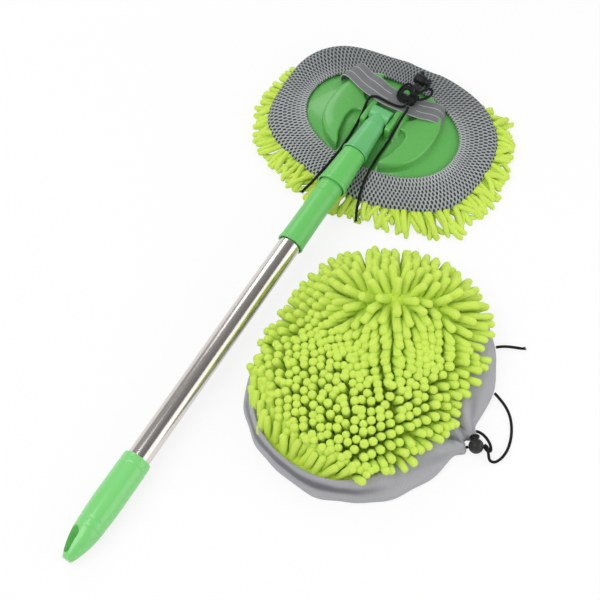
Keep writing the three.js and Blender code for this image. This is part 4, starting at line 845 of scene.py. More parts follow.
def smoothTable(table, blur):
    # the table's values each half degree, eased by a gaussian running mean of blur degrees
    values = np.interp(np.arange(720) / 2, *zip(*table), period=360)
    steps = np.arange(-int(6 * blur), int(6 * blur) + 1)
    weight = np.exp(-0.5 * (steps / 2 / blur) ** 2)
    return sum(w * np.roll(values, k) for w, k in zip(weight / weight.sum(), steps))


def lookUp(values, angle):
    # the value at each angle in radians, straight between the half degrees
    return np.interp(np.degrees(angle) % 360, np.arange(720) / 2, values, period=360)


headEdge = smoothTable(headSettings["edge"], 4.0)


def headPoint(spread, angle):
    # spread -1 is the middle, 0 the opening's edge and 1 the cover's outline, in a straight mix,
    # with the edge's own shift growing in over the outer two thirds
    share, scale = np.maximum(spread, 0)[..., None], (1 + np.minimum(spread, 0))[..., None]
    inner, outer = headSettings["opening"], headSettings["outline"]
    fullness = mix(inner[2], outer[2], share[..., 0])
    half = mix(np.array(inner[:2]), np.array(outer[:2]), share)
    flat = scale * half * superOval(1, 1, fullness, angle)
    return flat + unit(flat) * (lookUp(headEdge, angle) * eased(share[..., 0], 0.3, 1.0))[..., None]


def domeTop(x, y):
    # rim + dome (1 - share^power), with share the place's part of the opening's half sizes, and
    # both lower in the valley that the neck lies in
    h = headSettings
    hx, hy, full = h["opening"]
    share = (np.abs(x / hx) ** full + np.abs(y / hy) ** full) ** (1 / full)
    side = eased(np.abs(x), *h["valley"])
    return h["rim"] + mix(*h["dome"], side) * (1 - np.minimum(share, 1) ** mix(*h["domePower"], side))


def evenAngles(count, spread):
    # angles whose points on the outline of that spread lie evenly by length
    fine = np.linspace(0, 2 * np.pi, 4001)
    far = distances(headPoint(np.full(fine.shape, spread), fine))
    return np.interp(np.linspace(0, far[-1], count), far, fine)


def plateShell():
    # rings from the middle over the dome and the rounded edge, down and back under the sole
    h = headSettings
    rings = h["domeRings"]
    edge = throughPoints(h["edgeRows"], 20)
    spread = np.concatenate([np.linspace(-1, 0, rings), edge[1:, 0], h["soleSpreads"]])
    height = np.concatenate([np.zeros(rings), edge[1:, 1], [edge[-1, 1]] * len(h["soleSpreads"])])
    s, a = np.meshgrid(spread, evenAngles(161, 0.0), indexing="ij")
    flat = headPoint(s, a)
    inside = np.arange(len(spread))[:, None] < rings
    z = np.where(inside, domeTop(flat[..., 0], flat[..., 1]), height[:, None])
    grid = np.concatenate([flat, z[..., None]], axis=-1)
    surface("plateShell", [grid], plateLook, "head", ["base_plate"], [flat])


def restShare(x, y):
    # the place's part of the rests' oval, whose far half is a little longer
    r = restSettings
    (halfX, halfY), full = r["half"], r["fullness"]
    up = y - r["middleY"]
    halfY = halfY + np.where(up > 0, r["farther"], 0.0)
    return (np.abs(x / halfX) ** full + np.abs(up / halfY) ** full) ** (1 / full)


def restOutline(side):
    # The rest's outline in plan: the mound's oval and the bay's edge, its corners rounded by a
    # running mean. Given as two lines from the near tip to the far tip, outer and inner.
    r = restSettings
    half = np.array(r["half"])
    bay = throughPoints(np.array(r["bay"]) * half + (0, r["middleY"]), 500)
    bay = bay[restShare(bay[:, 0], bay[:, 1]) < 1]
    angle = np.linspace(-np.pi / 2, np.pi / 2, 900)
    arc = superOval(half[0], half[1], r["fullness"], angle)
    arc = arc * np.where(arc[:, 1:] > 0, (1.0, 1 + r["farther"] / half[1]), 1.0) + (0, r["middleY"])
    first = np.argmin(np.linalg.norm(arc - bay[0], axis=1))
    last = np.argmin(np.linalg.norm(arc - bay[-1], axis=1))
    arc = arc[first:last + 1]
    loop = evenly(np.concatenate([arc, bay[::-1], arc[:1]]), 721)[:-1]
    step = lengthOf(np.concatenate([loop, loop[:1]])) / 720
    reach = int(3 * r["rounding"] / step)
    weight = np.exp(-0.5 * (np.arange(-reach, reach + 1) * step / r["rounding"]) ** 2)
    weight /= weight.sum()
    smooth = sum(w * np.roll(loop, k, axis=0) for w, k in zip(weight, range(-reach, reach + 1)))
    near = np.argmin(np.linalg.norm(smooth - arc[0], axis=1))
    smooth = np.roll(smooth, -near, axis=0)
    far = np.argmin(np.linalg.norm(smooth - arc[-1], axis=1))
    outer, inner = smooth[:far + 1], np.concatenate([smooth[far:], smooth[:1]])[::-1]
    flip = np.array([side, 1.0])
    return outer * flip, inner * flip


def pickedAt(line, share):
    # the line's points at that share of its count
    at = np.linspace(0, 1, len(line))
    return np.stack([np.interp(share, at, line[:, k]) for k in (0, 1)], axis=1)


def handRest(side):
    # Top: p(s, t) = outer(s) + t (inner(s) - outer(s)), its height the mound's less a fillet by the
    # distance to the outline. Wall: the outline carried down to the dome, flaring a little at its foot.
    r = restSettings
    outer, inner = restOutline(side)
    s = 0.5 - 0.5 * np.cos(np.linspace(0, np.pi, 121))
    t = 0.5 - 0.5 * np.cos(np.linspace(0, np.pi, 41))
    o, i = pickedAt(outer, s), pickedAt(inner, s)
    flat = o[:, None] + t[None, :, None] * (i - o)[:, None]
    loop = np.concatenate([outer[:-1], inner[::-1][:-1]])[::2]
    away = np.sqrt(((flat[:, :, None] - loop) ** 2).sum(axis=-1)).min(axis=-1)
    away[:, 0] = away[:, -1] = away[0] = away[-1] = 0
    share = restShare(flat[..., 0], flat[..., 1])
    power, shape = r["crown"]
    crown = r["foot"] + r["shoulder"] * np.maximum(1 - np.minimum(share, 1) ** power, 0.003) ** shape
    inset = np.minimum(away / r["fillet"], 1)
    z = crown - r["fillet"] * (1 - np.sqrt(np.maximum(1 - (1 - inset) ** 2, 0)))
    top = np.concatenate([flat, z[..., None]], axis=-1)
    rim = np.concatenate([top[:, 0], top[::-1, -1][1:]])
    ahead = unit(np.roll(rim, -1, axis=0)[:, :2] - np.roll(rim, 1, axis=0)[:, :2])
    ahead[0], ahead[-1] = ahead[1], ahead[-2]
    out = np.stack([ahead[:, 1], -ahead[:, 0]], axis=1) * side
    down = np.linspace(0, 1, 12) ** 0.8
    foot = domeTop(rim[:, 0], rim[:, 1]) - 0.4
    height = mix(rim[None, :, 2], foot[None], down[:, None])
    flare = r["flare"] * np.maximum(1 - (height - foot) / r["flareHeight"], 0) ** 2.5
    wall = np.concatenate([rim[None, :, :2] + out[None] * flare[..., None], height[..., None]], axis=-1)
    name = "handRestRight" if side > 0 else "handRestLeft"
    surface(name, [top, wall], plateLook, "head", ["base_plate"])


cheekSettings = {  # outline as rows of Y, Z and corner cut, and the inner and outer face's X
    "outline": [(-3, 27.5), (-21, 27.5, 0.5), (-21, 50, 5.0), (14, 50, 5.0), (14, 27.5, 0.5), (-3, 27.5)],
    "middle": (-3.5, 39.0), "faces": (12.5, 19.0), "rounding": 1.6,
}


def cheek(side):
    # A rounded slab across X: the outline drawn in by cut (1 - cos a) as it nears each face at
    # cut (1 - sin a), between the inner and outer face.
    c = cheekSettings
    outline = evenly(roundedRows(c["outline"], 8), 121)
    ahead = unit(np.gradient(outline, axis=0))
    out = np.stack([-ahead[:, 1], ahead[:, 0]], axis=1)
    out *= np.sign(((outline - c["middle"]) * out).sum(axis=1, keepdims=True))
    a = np.linspace(0, np.pi / 2, 7)
    (inner, outer), cut = c["faces"], c["rounding"]
    inset = np.concatenate([cut * (1 - np.sin(a)), cut * (1 - np.cos(a))])
    x = np.concatenate([[inner], inner + cut * (1 - np.cos(a)), outer - cut * (1 - np.sin(a)), [outer]])
    ends = np.broadcast_to(np.array(c["middle"]), (1, *outline.shape))
    flat = np.concatenate([ends, outline[None] - out[None] * inset[:, None, None], ends])
    grid = np.concatenate([np.broadcast_to(side * x[:, None, None], (*flat.shape[:2], 1)), flat], axis=-1)
    name = "cheekRight" if side > 0 else "cheekLeft"
    surface(name, [grid], plateLook, "head", ["base_plate"])


shoulderSettings = {
    "x": (17.5, 29.0), "y": (-25.0, 14.0), "flatTo": 22.5,
    "top": [(-25.0, 31.0), (-20.0, 36.0), (-12.0, 40.0), (-6.0, 43.2), (-2.0, 45.4), (3.0, 47.2),
            (14.0, 47.2)],
}


def cheekShoulder(side):
    # z(x, y) = dome + (top(y) - dome) (1 - eased(x)), the web that ties a cheek to the rest beside it
    s = shoulderSettings
    x, y = np.meshgrid(np.linspace(*s["x"], 25), np.linspace(*s["y"], 41), indexing="ij")
    dome = domeTop(x, y) - 0.3
    top = np.interp(y, *zip(*s["top"]))
    top = np.maximum(mix(top, dome, eased(x, s["flatTo"], s["x"][1])), dome)
    lower = np.stack([side * x, y, dome - 1.0], axis=-1)
    upper = np.pad(lower, ((1, 1), (1, 1), (0, 0)), mode="edge")  # down to the underside all round
    upper[1:-1, 1:-1, 2] = top
    name = "cheekShoulderRight" if side > 0 else "cheekShoulderLeft"
    surface(name, [upper, lower], plateLook, "head", ["base_plate"])


plateShell()
for side in (-1, 1):
    handRest(side)
    cheek(side)
    cheekShoulder(side)
print("head plate made")


# Hand strap.

def strapStation(side, along, height, bow):
    # x, y and z of the near edge and of the far one
    w = strapSettings
    near, far = (side * along * reach + w["middleX"] for reach in w["reach"])
    y, z = mix(w["middleY"], w["endY"][side], bow), mix(w["foot"], w["top"], height)
    at, wide = w["tiltAt"]
    tilt = w["tilt"][side] * math.exp(-((along - at) / wide) ** 2)
    return near, y, z, far, y + w["width"], z + tilt


def handStrap():
    # p(s, k) = near(s) + share_k (far(s) - near(s)) + (lift_k + crown_k) up(s), a thin round-edged
    # section with lift_k half its thickness, a little crowned
    w = strapSettings
    left, right = ([strapStation(side, *row) for row in w["stations"][side]] for side in (-1, 1))
    fine = throughPoints([*left[::-1], strapStation(1, 0, 1, 0), *right], 260)
    near, far = fine[:, :3], fine[:, 3:]
    across = far - near
    up = unit(np.cross(unit(np.gradient((near + far) / 2, axis=0)), across))
    edge = np.array([0.7, 0, -0.7])
    share = np.concatenate([np.linspace(0, 1, 29), [1.004, 1.006, 1.004],
                            np.linspace(1, 0, 29), [-0.004, -0.006, -0.004, 0]])
    lift = w["thickness"] / 2 * np.concatenate([np.ones(29), edge, -np.ones(29), -edge, [1]])
    crown = w["crown"] * np.sin(np.pi * np.clip(share, 0, 1)) ** 0.5
    grid = (near[:, None] + share[None, :, None] * across[:, None]
            + (lift + crown)[None, :, None] * up[:, None])
    along = distances(near + across / 2)
    u = np.broadcast_to((along - along[len(along) // 2])[:, None], grid.shape[:2])
    v = np.broadcast_to(share * w["width"], grid.shape[:2])
    grid, uv = capped(grid, np.stack([u, v], axis=-1))
    return surface("handStrap", [grid], elasticLook, "head", ["hand_strap"], [uv])


strap = handStrap()
print("hand strap made")


# The cover's mesh border, and the drawcord in its hem.

borderSettings = {
    "cellsRound": 150, "rowPitch": 4.5, "notch": (3.4, 1.2), "notchWidth": 0.05, "spreadLength": 39.0,
    "upperFrom": 16.5, "hemSpread": 0.22, "gatherTurn": 2.4, "farShadeTurn": 1.9,
    # spread and height from the hem over the top and edge and back inside
    "section": [(0.0, 26.2), (0.012, 26.9), (0.05, 27.3), (0.105, 27.2), (0.25, 26.4), (0.45, 25.4),
                (0.6, 24.9), (0.72, 24.2), (0.82, 22.9), (0.9, 21.0), (0.955, 18.9), (0.985, 17.0),
                (0.99, 15.2), (0.975, 13.6), (0.945, 13.3), (0.937, 16.0), (0.9, 19.0), (0.842, 20.9),
                (0.6, 22.2), (0.3, 23.0), (0.105, 23.4), (0.02, 23.6), (0.0, 24.6)],
    # waves round the head: count, size and phase
    "pucker": [(46, 0.4, 0.4), (31, 0.48, 2.0), (61, 0.28, 1.1)],
    "waver": [(3, 0.012, 0.3), (5, 0.01, 1.9), (9, 0.006, 0.7)],
}


def meshBorder():
    # p(k, a): the section's spread and height carried round the head, drawn in by a small gaussian
    # notch where the cord comes out, with radial puckers that fade outwards from the hem.
    b = borderSettings
    scale = (b["spreadLength"], 1.0)
    section = throughPoints(np.array(b["section"]) * scale, 97, closed=True) / scale
    angle = evenAngles(385, 0.75)
    spread, a = np.meshgrid(section[:, 0], angle, indexing="ij")
    height = np.broadcast_to(section[:, 1:], spread.shape)
    upper = height > b["upperFrom"]
    outwards = np.maximum(spread, 0) / b["hemSpread"]
    wobble = waves(a, b["waver"]) * eased(spread, 0.3, 1.0)
    flat = headPoint(spread + wobble, a)
    turn = np.angle(np.exp(1j * (a - np.pi / 2)))
    notch = np.exp(-(turn / b["notchWidth"]) ** 2) * eased(spread, 0.84, 0.98)
    inwards, down = b["notch"]
    flat = flat - unit(flat) * (inwards * notch)[..., None]
    gathered = 0.55 + 0.45 * np.cos(a - b["gatherTurn"])
    z = height + waves(a, b["pucker"]) * np.exp(-outwards) * gathered * upper - down * notch * upper
    grid = np.concatenate([flat, z[..., None]], axis=-1)
    u = np.broadcast_to(np.linspace(0, b["cellsRound"], len(angle))[None, :], spread.shape)
    v = np.broadcast_to((distances(section * scale) / b["rowPitch"])[:, None], spread.shape)
    gather = np.exp(-outwards**2) * (0.25 + 0.75 * np.cos(a - 0.1) ** 2)
    # painted shade on the strands, strongest on the far side of the head
    farShade = np.maximum(np.cos(a - b["farShadeTurn"]), 0)
    return surface("meshBorder", [grid], meshLook, "head", ["cover_mesh_border"],
                   [np.stack([u, v], axis=-1)], {"gather": [gather], "farShade": [farShade]})


hemSettings = {"spread": 0.05, "height": 24.4, "radius": 1.25}


def hemCord():
    # the drawcord's ring inside the hem, (headPoint(spread, angle), height)
    angle = evenAngles(181, hemSettings["spread"])
    flat = headPoint(np.full(angle.shape, hemSettings["spread"]), angle)
    line = np.column_stack([flat, np.full(len(flat), hemSettings["height"])])
    grid, uv = swept(line, hemSettings["radius"], 10)
    return surface("hemCord", [grid], cordLook, "head", ["hem_drawcord"], [uv])


border = meshBorder()
hem = hemCord()
print("mesh border made")


# Chenille noodles.

noodleSettings = {  # girth by the part of the length, and the count and depth of the lumps along it
    "sides": 8, "around": 4.5, "lumps": (9, 0.05),
    "along": [0.0, 0.25, 0.5, 0.72, 0.87, 0.94, 0.985, 1.0],
    "girth": [0.92, 1.0, 1.0, 0.99, 1.0, 0.86, 0.52, 0.0],
}


def noodles(roots, aims, bends, lengths, radius, sway=0.11):
    # centre(t) = root + length (t aim + t^2 bend + sin(pi t) sway); a ring of girth(t) radius round
    # it, lumpy by 1 + depth sin(count t + phase). All are worked out together as one stack of grids.
    n = noodleSettings
    t, girth = np.array(n["along"]), np.array(n["girth"])
    many = len(roots)
    sways = unit(np.cross(aims, rng.normal(size=(many, 3)))) * rng.uniform(0, sway, many)[:, None]
    s = t[None, :, None]
    way = s * aims[:, None] + s**2 * bends[:, None] + np.sin(np.pi * s) * sways[:, None]
    line = roots[:, None] + lengths[:, None, None] * way
    ahead = unit(np.gradient(line, axis=1))
    guide = unit(np.cross(aims, [0.31, 0.17, 0.42]))
    side = unit(np.cross(ahead, np.cross(guide[:, None], ahead)))
    up = np.cross(side, ahead)
    angle = np.linspace(0, 2 * np.pi, n["sides"] + 1)
    count, depth = n["lumps"]
    lumps = 1 + depth * np.sin(count * t[None] + rng.uniform(0, 6.28, (many, 1)))
    size = radius[:, None] * girth[None] * lumps
    ring = (np.cos(angle)[None, None, :, None] * side[:, :, None]
            + np.sin(angle)[None, None, :, None] * up[:, :, None])
    grid = line[:, :, None] + size[:, :, None, None] * ring
    reach = np.broadcast_to(s, grid.shape[:3])
    tone = np.broadcast_to(rng.uniform(0, 1, (many, 1, 1)), grid.shape[:3])
    u = np.broadcast_to(angle[None, None] * n["around"], grid.shape[:3])
    v = reach * lengths[:, None, None]
    return grid, np.stack([u, v], axis=-1), reach, tone


fringeSettings = [  # roots' spread and height, count, share of the reach, drop of the tips, dip below level
    {"spread": 0.93, "root": 14.6, "count": 98, "share": 0.94, "drop": 0.3, "dip": 0.06},
    {"spread": 0.9, "root": 11.5, "count": 92, "share": 1.0, "drop": 0.14, "dip": 0.12},
    {"spread": 0.84, "root": 9.0, "count": 84, "share": 0.9, "drop": 0.05, "dip": 0.14},
]
fringeReach = smoothTable([  # how far the tips reach past the true oval, by degrees round it
    (0, 24), (8, 19), (16, 23), (28, 18), (40, 21), (50, 14), (58, 4), (66, 0), (160, 1), (168, 8), (178, 9),
    (186, 13), (196, 17), (208, 14), (216, 18), (226, 17), (236, 15), (246, 11), (256, 20), (266, 25),
    (274, 20), (281, 11), (288, 16), (296, 11), (304, 16), (314, 22), (330, 26), (346, 25), (360, 24)], 1.5)
tuckSettings = {  # where the fringe is tucked under the cover, and how it lies there
    "turn": 110.0, "edge": (0.5, 0.72), "inwards": (3.0, 9.0), "shorter": 0.6, "steeper": (0.85, 1.2),
}
# how uneven the noodles are: root's turn, aim and dip, side bend, length and the lean of those under
looseSettings = {"turn": 0.02, "aim": 0.3, "dip": 0.05, "bend": 0.22, "length": (0.88, 1.1), "lean": 0.08}
underSettings = {
    "rings": [(0.62, 54), (0.36, 46), (0.1, 38), (-0.2, 30), (-0.45, 20), (-0.7, 11), (-0.92, 3)],
    "root": 15.5, "length": 15.2, "lean": 0.35, "radius": (2.9, 3.7), "floor": 0.05,
    # the pad's section, spread and height
    "pad": [(-1.0, 17.4), (-0.5, 17.4), (0.0, 17.4), (0.5, 17.4), (0.82, 17.2), (0.87, 16.8), (0.88, 16.0),
            (0.87, 15.2), (0.82, 15.0), (0.0, 15.0), (-1.0, 15.0)],
}


def headChenille():
    # Noodles in rings: the outer ones splay over the edge of the cover, tucked under it on the far
    # side, and the rest stand under the plate. A thin pad joins their roots.
    roots, aims, bends, lengths = [], [], [], []
    outline = headSettings["outline"]
    loose = looseSettings
    start, inwards = tuckSettings["inwards"]
    less, down = tuckSettings["steeper"]
    for layer in fringeSettings:
        count = layer["count"]
        angle = evenAngles(count + 1, 0.9)[:-1] + rng.uniform(-loose["turn"], loose["turn"], count)
        flat = headPoint(np.full(count, layer["spread"]), angle)
        out = unit(flat / outline[:2])
        turn = np.arctan2(out[:, 1], out[:, 0]) - math.radians(tuckSettings["turn"])
        tuck = eased(np.cos(turn), *tuckSettings["edge"])
        sway = rng.normal(0, loose["aim"], count)
        out = np.stack([out[:, 0] - sway * out[:, 1], out[:, 1] + sway * out[:, 0]], axis=1)
        root = flat - (start + inwards * tuck[:, None]) * unit(flat)
        roots.append(np.column_stack([root, np.full(count, layer["root"])]))
        dip = layer["dip"] + rng.uniform(-loose["dip"], loose["dip"], count)
        aims.append(unit(np.column_stack([out * (1 - less * tuck[:, None]), -dip - down * tuck])))
        side = np.stack([-out[:, 1], out[:, 0]], axis=1) * rng.normal(0, loose["bend"], (count, 1))
        bends.append(np.column_stack([side, -layer["drop"] * (1 - tuck)]))
        oval = np.linalg.norm(superOval(*outline, angle), axis=1)
        reach = layer["share"] * (oval + lookUp(fringeReach, angle) - np.linalg.norm(root, axis=1)) / 0.92
        shorter = mix(1.0, tuckSettings["shorter"], tuck)
        lengths.append(np.maximum(reach, 11.0) * rng.uniform(*loose["length"], count) * shorter)
    under = underSettings
    for spread, count in under["rings"]:
        angle = evenAngles(count + 1, spread)[:-1]
        flat = headPoint(np.full(count, spread), angle)
        lean = unit(flat) * under["lean"] * max(spread, 0) + rng.normal(0, loose["lean"], (count, 2))
        roots.append(np.column_stack([flat, np.full(count, under["root"])]))
        aims.append(unit(np.column_stack([lean, -np.ones(count)])))
        bends.append(np.zeros((count, 3)))
        lengths.append(np.full(count, under["length"]))
    roots, aims, bends, lengths = (np.concatenate(rows) for rows in (roots, aims, bends, lengths))
    radius = rng.uniform(*under["radius"], len(roots))
    grid, uv, reach, tone = noodles(roots, aims, bends, lengths, radius)
    grid[..., 2] = np.maximum(grid[..., 2], under["floor"])
    spread, height = np.array(under["pad"]).T
    s, a = np.meshgrid(spread, evenAngles(181, 0.9), indexing="ij")
    z = np.broadcast_to(height[:, None], s.shape)
    pad = np.concatenate([headPoint(s, a), z[..., None]], axis=-1)
    return surface("headChenille", [grid, pad], chenilleLook, "head", ["cover_chenille"],
                   [uv, pad[..., :2]], {"reach": [reach, 0 * z], "tone": [tone, 0 * z]})


headPad = headChenille()
print("head noodles made")


# Neck, adapter, tubes, sleeve and grip, turned about the pole's axis.

poleSettings = {  # rows of distance from the hinge pin, radius and corner cut
    "neck": [(3, 0), (3, 8.9, 0.5), (16.4, 11.6, 0.3), (17.0, 12.0, 0.3), (18.6, 12.1, 0.3),
             (19.2, 11.75, 0.3), (55.2, 14.25, 0.4), (56.2, 15.2, 0.5), (59.0, 15.45, 0.7),
             (59.0, 13.4, 0.5), (56.5, 13.0, 0.3), (56.5, 12.3, 0.2), (30, 12.3, 0.2), (30, 0)],
    "adapter": [(31, 0), (31, 12.0, 0.8), (59.3, 12.0, 0.1), (59.5, 13.8, 0.6), (103.2, 16.5, 0.6),
                (104.3, 17.15, 0.5), (108.6, 17.25, 0.8), (108.6, 15.6, 0.5), (97, 15.0, 0.3),
                (97, 11.3, 0.2), (66, 11.3, 0.2), (66, 0)],
    "sleeve": [(96.9, 11.3), (96.9, 14.2, 0.5), (121.6, 14.3, 0.1), (122.6, 14.3, 0.3), (123.2, 14.75, 0.3),
               (123.9, 14.75, 0.3), (124.5, 14.25, 0.3), (146, 13.95, 12), (190.6, 14.65, 0.3),
               (191.6, 15.1, 0.4), (194.9, 15.15, 0.7), (194.9, 13.3, 0.4), (188, 12.85, 0.3),
               (103, 12.85, 0.2), (103, 11.3, 0.2), (96.9, 11.3)],
    # across X, as distance from the pin's middle, radius and corner cut
    "hinge": [(-11.9, 2.3), (-11.9, 9.2, 1.0), (11.9, 9.2, 1.0), (11.9, 2.3), (-11.9, 2.3)],
    # start, end, outer radius and wall
    "innerTube": (66.3, 438.3, 11.0, 0.8), "outerTube": (103.2, 558.0, 12.5, 0.8),
}


def polePiece(name, rows, look, body, replaces):
    # the rows turned about the pole's axis
    grid, uv = turned(roundedRows(rows), 96, pinPlace, poleAxis, abovePole)
    surface(name, [grid], look, body, replaces, [uv])


def hingeBarrel():
    # the neck's root round the hinge pin, a drum across X with rounded edges
    grid, uv = turned(roundedRows(poleSettings["hinge"]), 72, pinPlace, acrossPole, abovePole)
    surface("hingeBarrel", [grid], neckLook, "neck", ["pivot_neck"], [uv])


def tubeRows(start, end, outside, wall):
    # out along the outer wall and back along the inner one
    return [(start, outside - wall), (start, outside, 0.25), (end, outside, 0.25), (end, outside - wall, 0.1),
            (start, outside - wall)]


polePiece("neck", poleSettings["neck"], neckLook, "neck", ["pivot_neck"])
hingeBarrel()
polePiece("adapter", poleSettings["adapter"], adapterLook, "neck", ["pole_adapter"])
polePiece("lockSleeve", poleSettings["sleeve"], sleeveLook, "pole", ["lock_sleeve"])
polePiece("innerTube", tubeRows(*poleSettings["innerTube"]), tubeLook, "neck", ["inner_tube"])
polePiece("outerTube", tubeRows(*poleSettings["outerTube"]), tubeLook, "pole", ["outer_tube"])

gripSettings = {
    "start": 487.0, "length": 124.0, "radius": 16.0, "top": 15.0, "tipRound": 1.8, "bore": (558.3, 12.8),
    # distance and radius along it, as parts of the length and the radius
    "rows": [(0.0, 0.9375), (0.02, 0.965), (0.1, 0.99), (0.28, 1.0), (0.47, 1.0), (0.61, 0.965), (0.74, 0.9),
             (0.86, 0.72), (0.95, 0.5), (0.985, 0.38)],
    "grooves": [(0.08, 0.5), (0.63, 0.5), (0.7, 0.5)], "grooveWidth": 1.5,
    # the hanging slot: length, its two widths and distance from the tip, its turn about the pole, how
    # far it is cut each way, and its edge's rounding in metres, steps of it and least angle
    "slot": (28.0, 14.0, 9.0, 4.6), "slotTurn": 39.0, "slotDepth": 30.0, "slotEdge": (0.0009, 3, 38.0),
}


def handGrip():
    # radius(along) through the rows, less depth exp(-(distance to a groove / width)^2) at each groove,
    # a quarter round at the tip and the tube's bore inside
    g = gripSettings
    line = throughPoints(np.array(g["rows"]) * (g["length"], g["radius"]), 150)
    for share, depth in g["grooves"]:
        line[:, 1] -= depth * np.exp(-((line[:, 0] - share * g["length"]) / (g["grooveWidth"] / 2)) ** 2)
    line[:, 0] += g["start"]
    end, cut = g["start"] + g["length"], g["tipRound"]
    a = np.linspace(0, np.pi / 2, 8)[1:]
    tip = np.stack([end - cut + cut * np.sin(a), line[-1, 1] - cut + cut * np.cos(a)], axis=1)
    floor, bore = g["bore"]
    inside = [(floor, 0), (floor, bore), (g["start"], bore), (g["start"], g["top"] - 0.5)]
    profile = np.concatenate([inside, line, tip, [(end, 0.0)]])
    grid, uv = turned(profile, 128, pinPlace, poleAxis, abovePole)
    return surface("handGrip", [grid], gripLook, "pole", ["hand_grip"], [uv])


def slotCutter():
    # A tapered bar with round ends through the tip: outline(a) on the plane across the slot's turn,
    # carried along it.
    g = gripSettings
    length, wide, narrow, fromTip = g["slot"]
    low = g["start"] + g["length"] - fromTip
    high = low - length
    a = np.linspace(0, np.pi, 17)
    first = np.stack([low - narrow / 2 + narrow / 2 * np.sin(a), -narrow / 2 * np.cos(a)], axis=1)
    last = np.stack([high + wide / 2 - wide / 2 * np.sin(a), wide / 2 * np.cos(a)], axis=1)
    outline = np.concatenate([first, last, first[:1]])
    turn = math.radians(g["slotTurn"])
    through = math.cos(turn) * abovePole - math.sin(turn) * acrossPole
    ring = pinPlace + outline[:, :1] * poleAxis + outline[:, 1:] * np.cross(poleAxis, through)
    middle, far = ring.mean(axis=0) + 0 * ring, g["slotDepth"] * through
    return surface("slotCutter", [np.stack([middle - far, ring - far, ring + far, middle + far])], gripLook,
                   None)


def applyModifiers(piece):
    # the piece's mesh with its modifiers worked in
    depsgraph = bpy.context.evaluated_depsgraph_get()
    mesh = bpy.data.meshes.new_from_object(piece.evaluated_get(depsgraph))
    piece.modifiers.clear()
    piece.data = mesh


grip = handGrip()
cutter = slotCutter()
slotCut = grip.modifiers.new("slot", "BOOLEAN")
slotCut.operation = "DIFFERENCE"
slotCut.object = cutter
slotCut.solver = "EXACT"
bpy.context.view_layer.update()
applyModifiers(grip)
bpy.data.objects.remove(cutter)
bevel = grip.modifiers.new("slotEdge", "BEVEL")
bevel.width, bevel.segments = gripSettings["slotEdge"][:2]
bevel.limit_method = "ANGLE"
bevel.angle_limit = math.radians(gripSettings["slotEdge"][2])
bevel.harden_normals = False
print("pole made")


# Spare cover: its pile, its pad and its skirt.

spareSettings = {
    # the pad: its middle in plan, half sizes, the hump's shift from the middle, and heights
    "middle": (152.0, -285.0), "half": (94.0, 122.0), "offset": (-6.0, 12.0), "fullness": 2.3,
    "foot": 17.0, "top": 22.0, "rise": 15.0,
    # crests that the noodles fall away from: their line, height at each point and spread
    "crests": [
        {"line": [(-34, 64), (-12, 80), (24, 97)], "height": (25, 28, 24), "spread": 28.0, "push": 0.95},
        {"line": [(-8, 66), (4, 31), (22, -12)], "height": (18, 12, 3), "spread": 21.0, "push": 0.35},
    ],
    # the pad's edge lies further out by this share where the skirt's lip is
    "lipShift": 0.15,
}
pileSettings = {
    "pitch": 9.3, "length": 27.0, "radius": (4.4, 4.85), "root": 2.5, "rows": 18, "columns": 14,
    # how far the tips reach in the pad's half sizes, by its turn in degrees
    "reach": [(0, 1.12), (13, 1.15), (25, 1.18), (37, 1.13), (47, 1.17), (57, 1.24), (74, 1.25), (90, 1.28),
              (98, 1.25), (114, 1.23), (143, 1.21), (167, 1.22), (180, 1.22), (193, 1.27), (205, 1.27),
              (215, 1.29), (222, 1.27), (230, 1.25), (254, 1.22), (270, 1.22), (290, 1.23), (298, 1.24),
              (303, 1.26), (313, 1.21), (323, 1.17), (335, 1.16), (341, 1.22), (347, 1.31), (353, 1.2),
              (360, 1.12)],
    # how far the outermost noodles lean out, by turn in degrees
    "splay": [(0, 0.9), (40, 1.1), (70, 1.5), (110, 1.5), (135, 0.95), (190, 0.75), (212, 0.5), (225, 0.15),
              (285, 0.15), (297, 0.5), (345, 0.8), (360, 0.9)],
    # how much of the reach a noodle that lies flat makes up
    "tipShare": 0.29,
    # steepest lean, where the splay begins, how uneven the aims are inside and further out, from
    # where, the droop of any noodle and more of it where flattened or splayed, and the lengths
    "steepest": 1.1, "splayFrom": 0.66, "loose": (0.045, 0.07, 0.75), "droop": (0.1, 0.12, 0.22),
    "uneven": (0.94, 1.06), "sway": 0.06,
    # where the noodles are combed another way: place, spread and push
    "combs": [((6, 26), 26.0, (0.18, -0.45)), ((-88, -80), 14.0, (-0.3, 0.8)),
              ((-70, -102), 15.0, (-0.35, 0.95)), ((-41, -122), 15.0, (-0.2, 1.0)),
              ((-6, -130), 15.0, (0.2, 1.0)), ((28, -122), 15.0, (0.3, 0.8)), ((-84, 0), 24.0, (0.25, -0.3))],
}
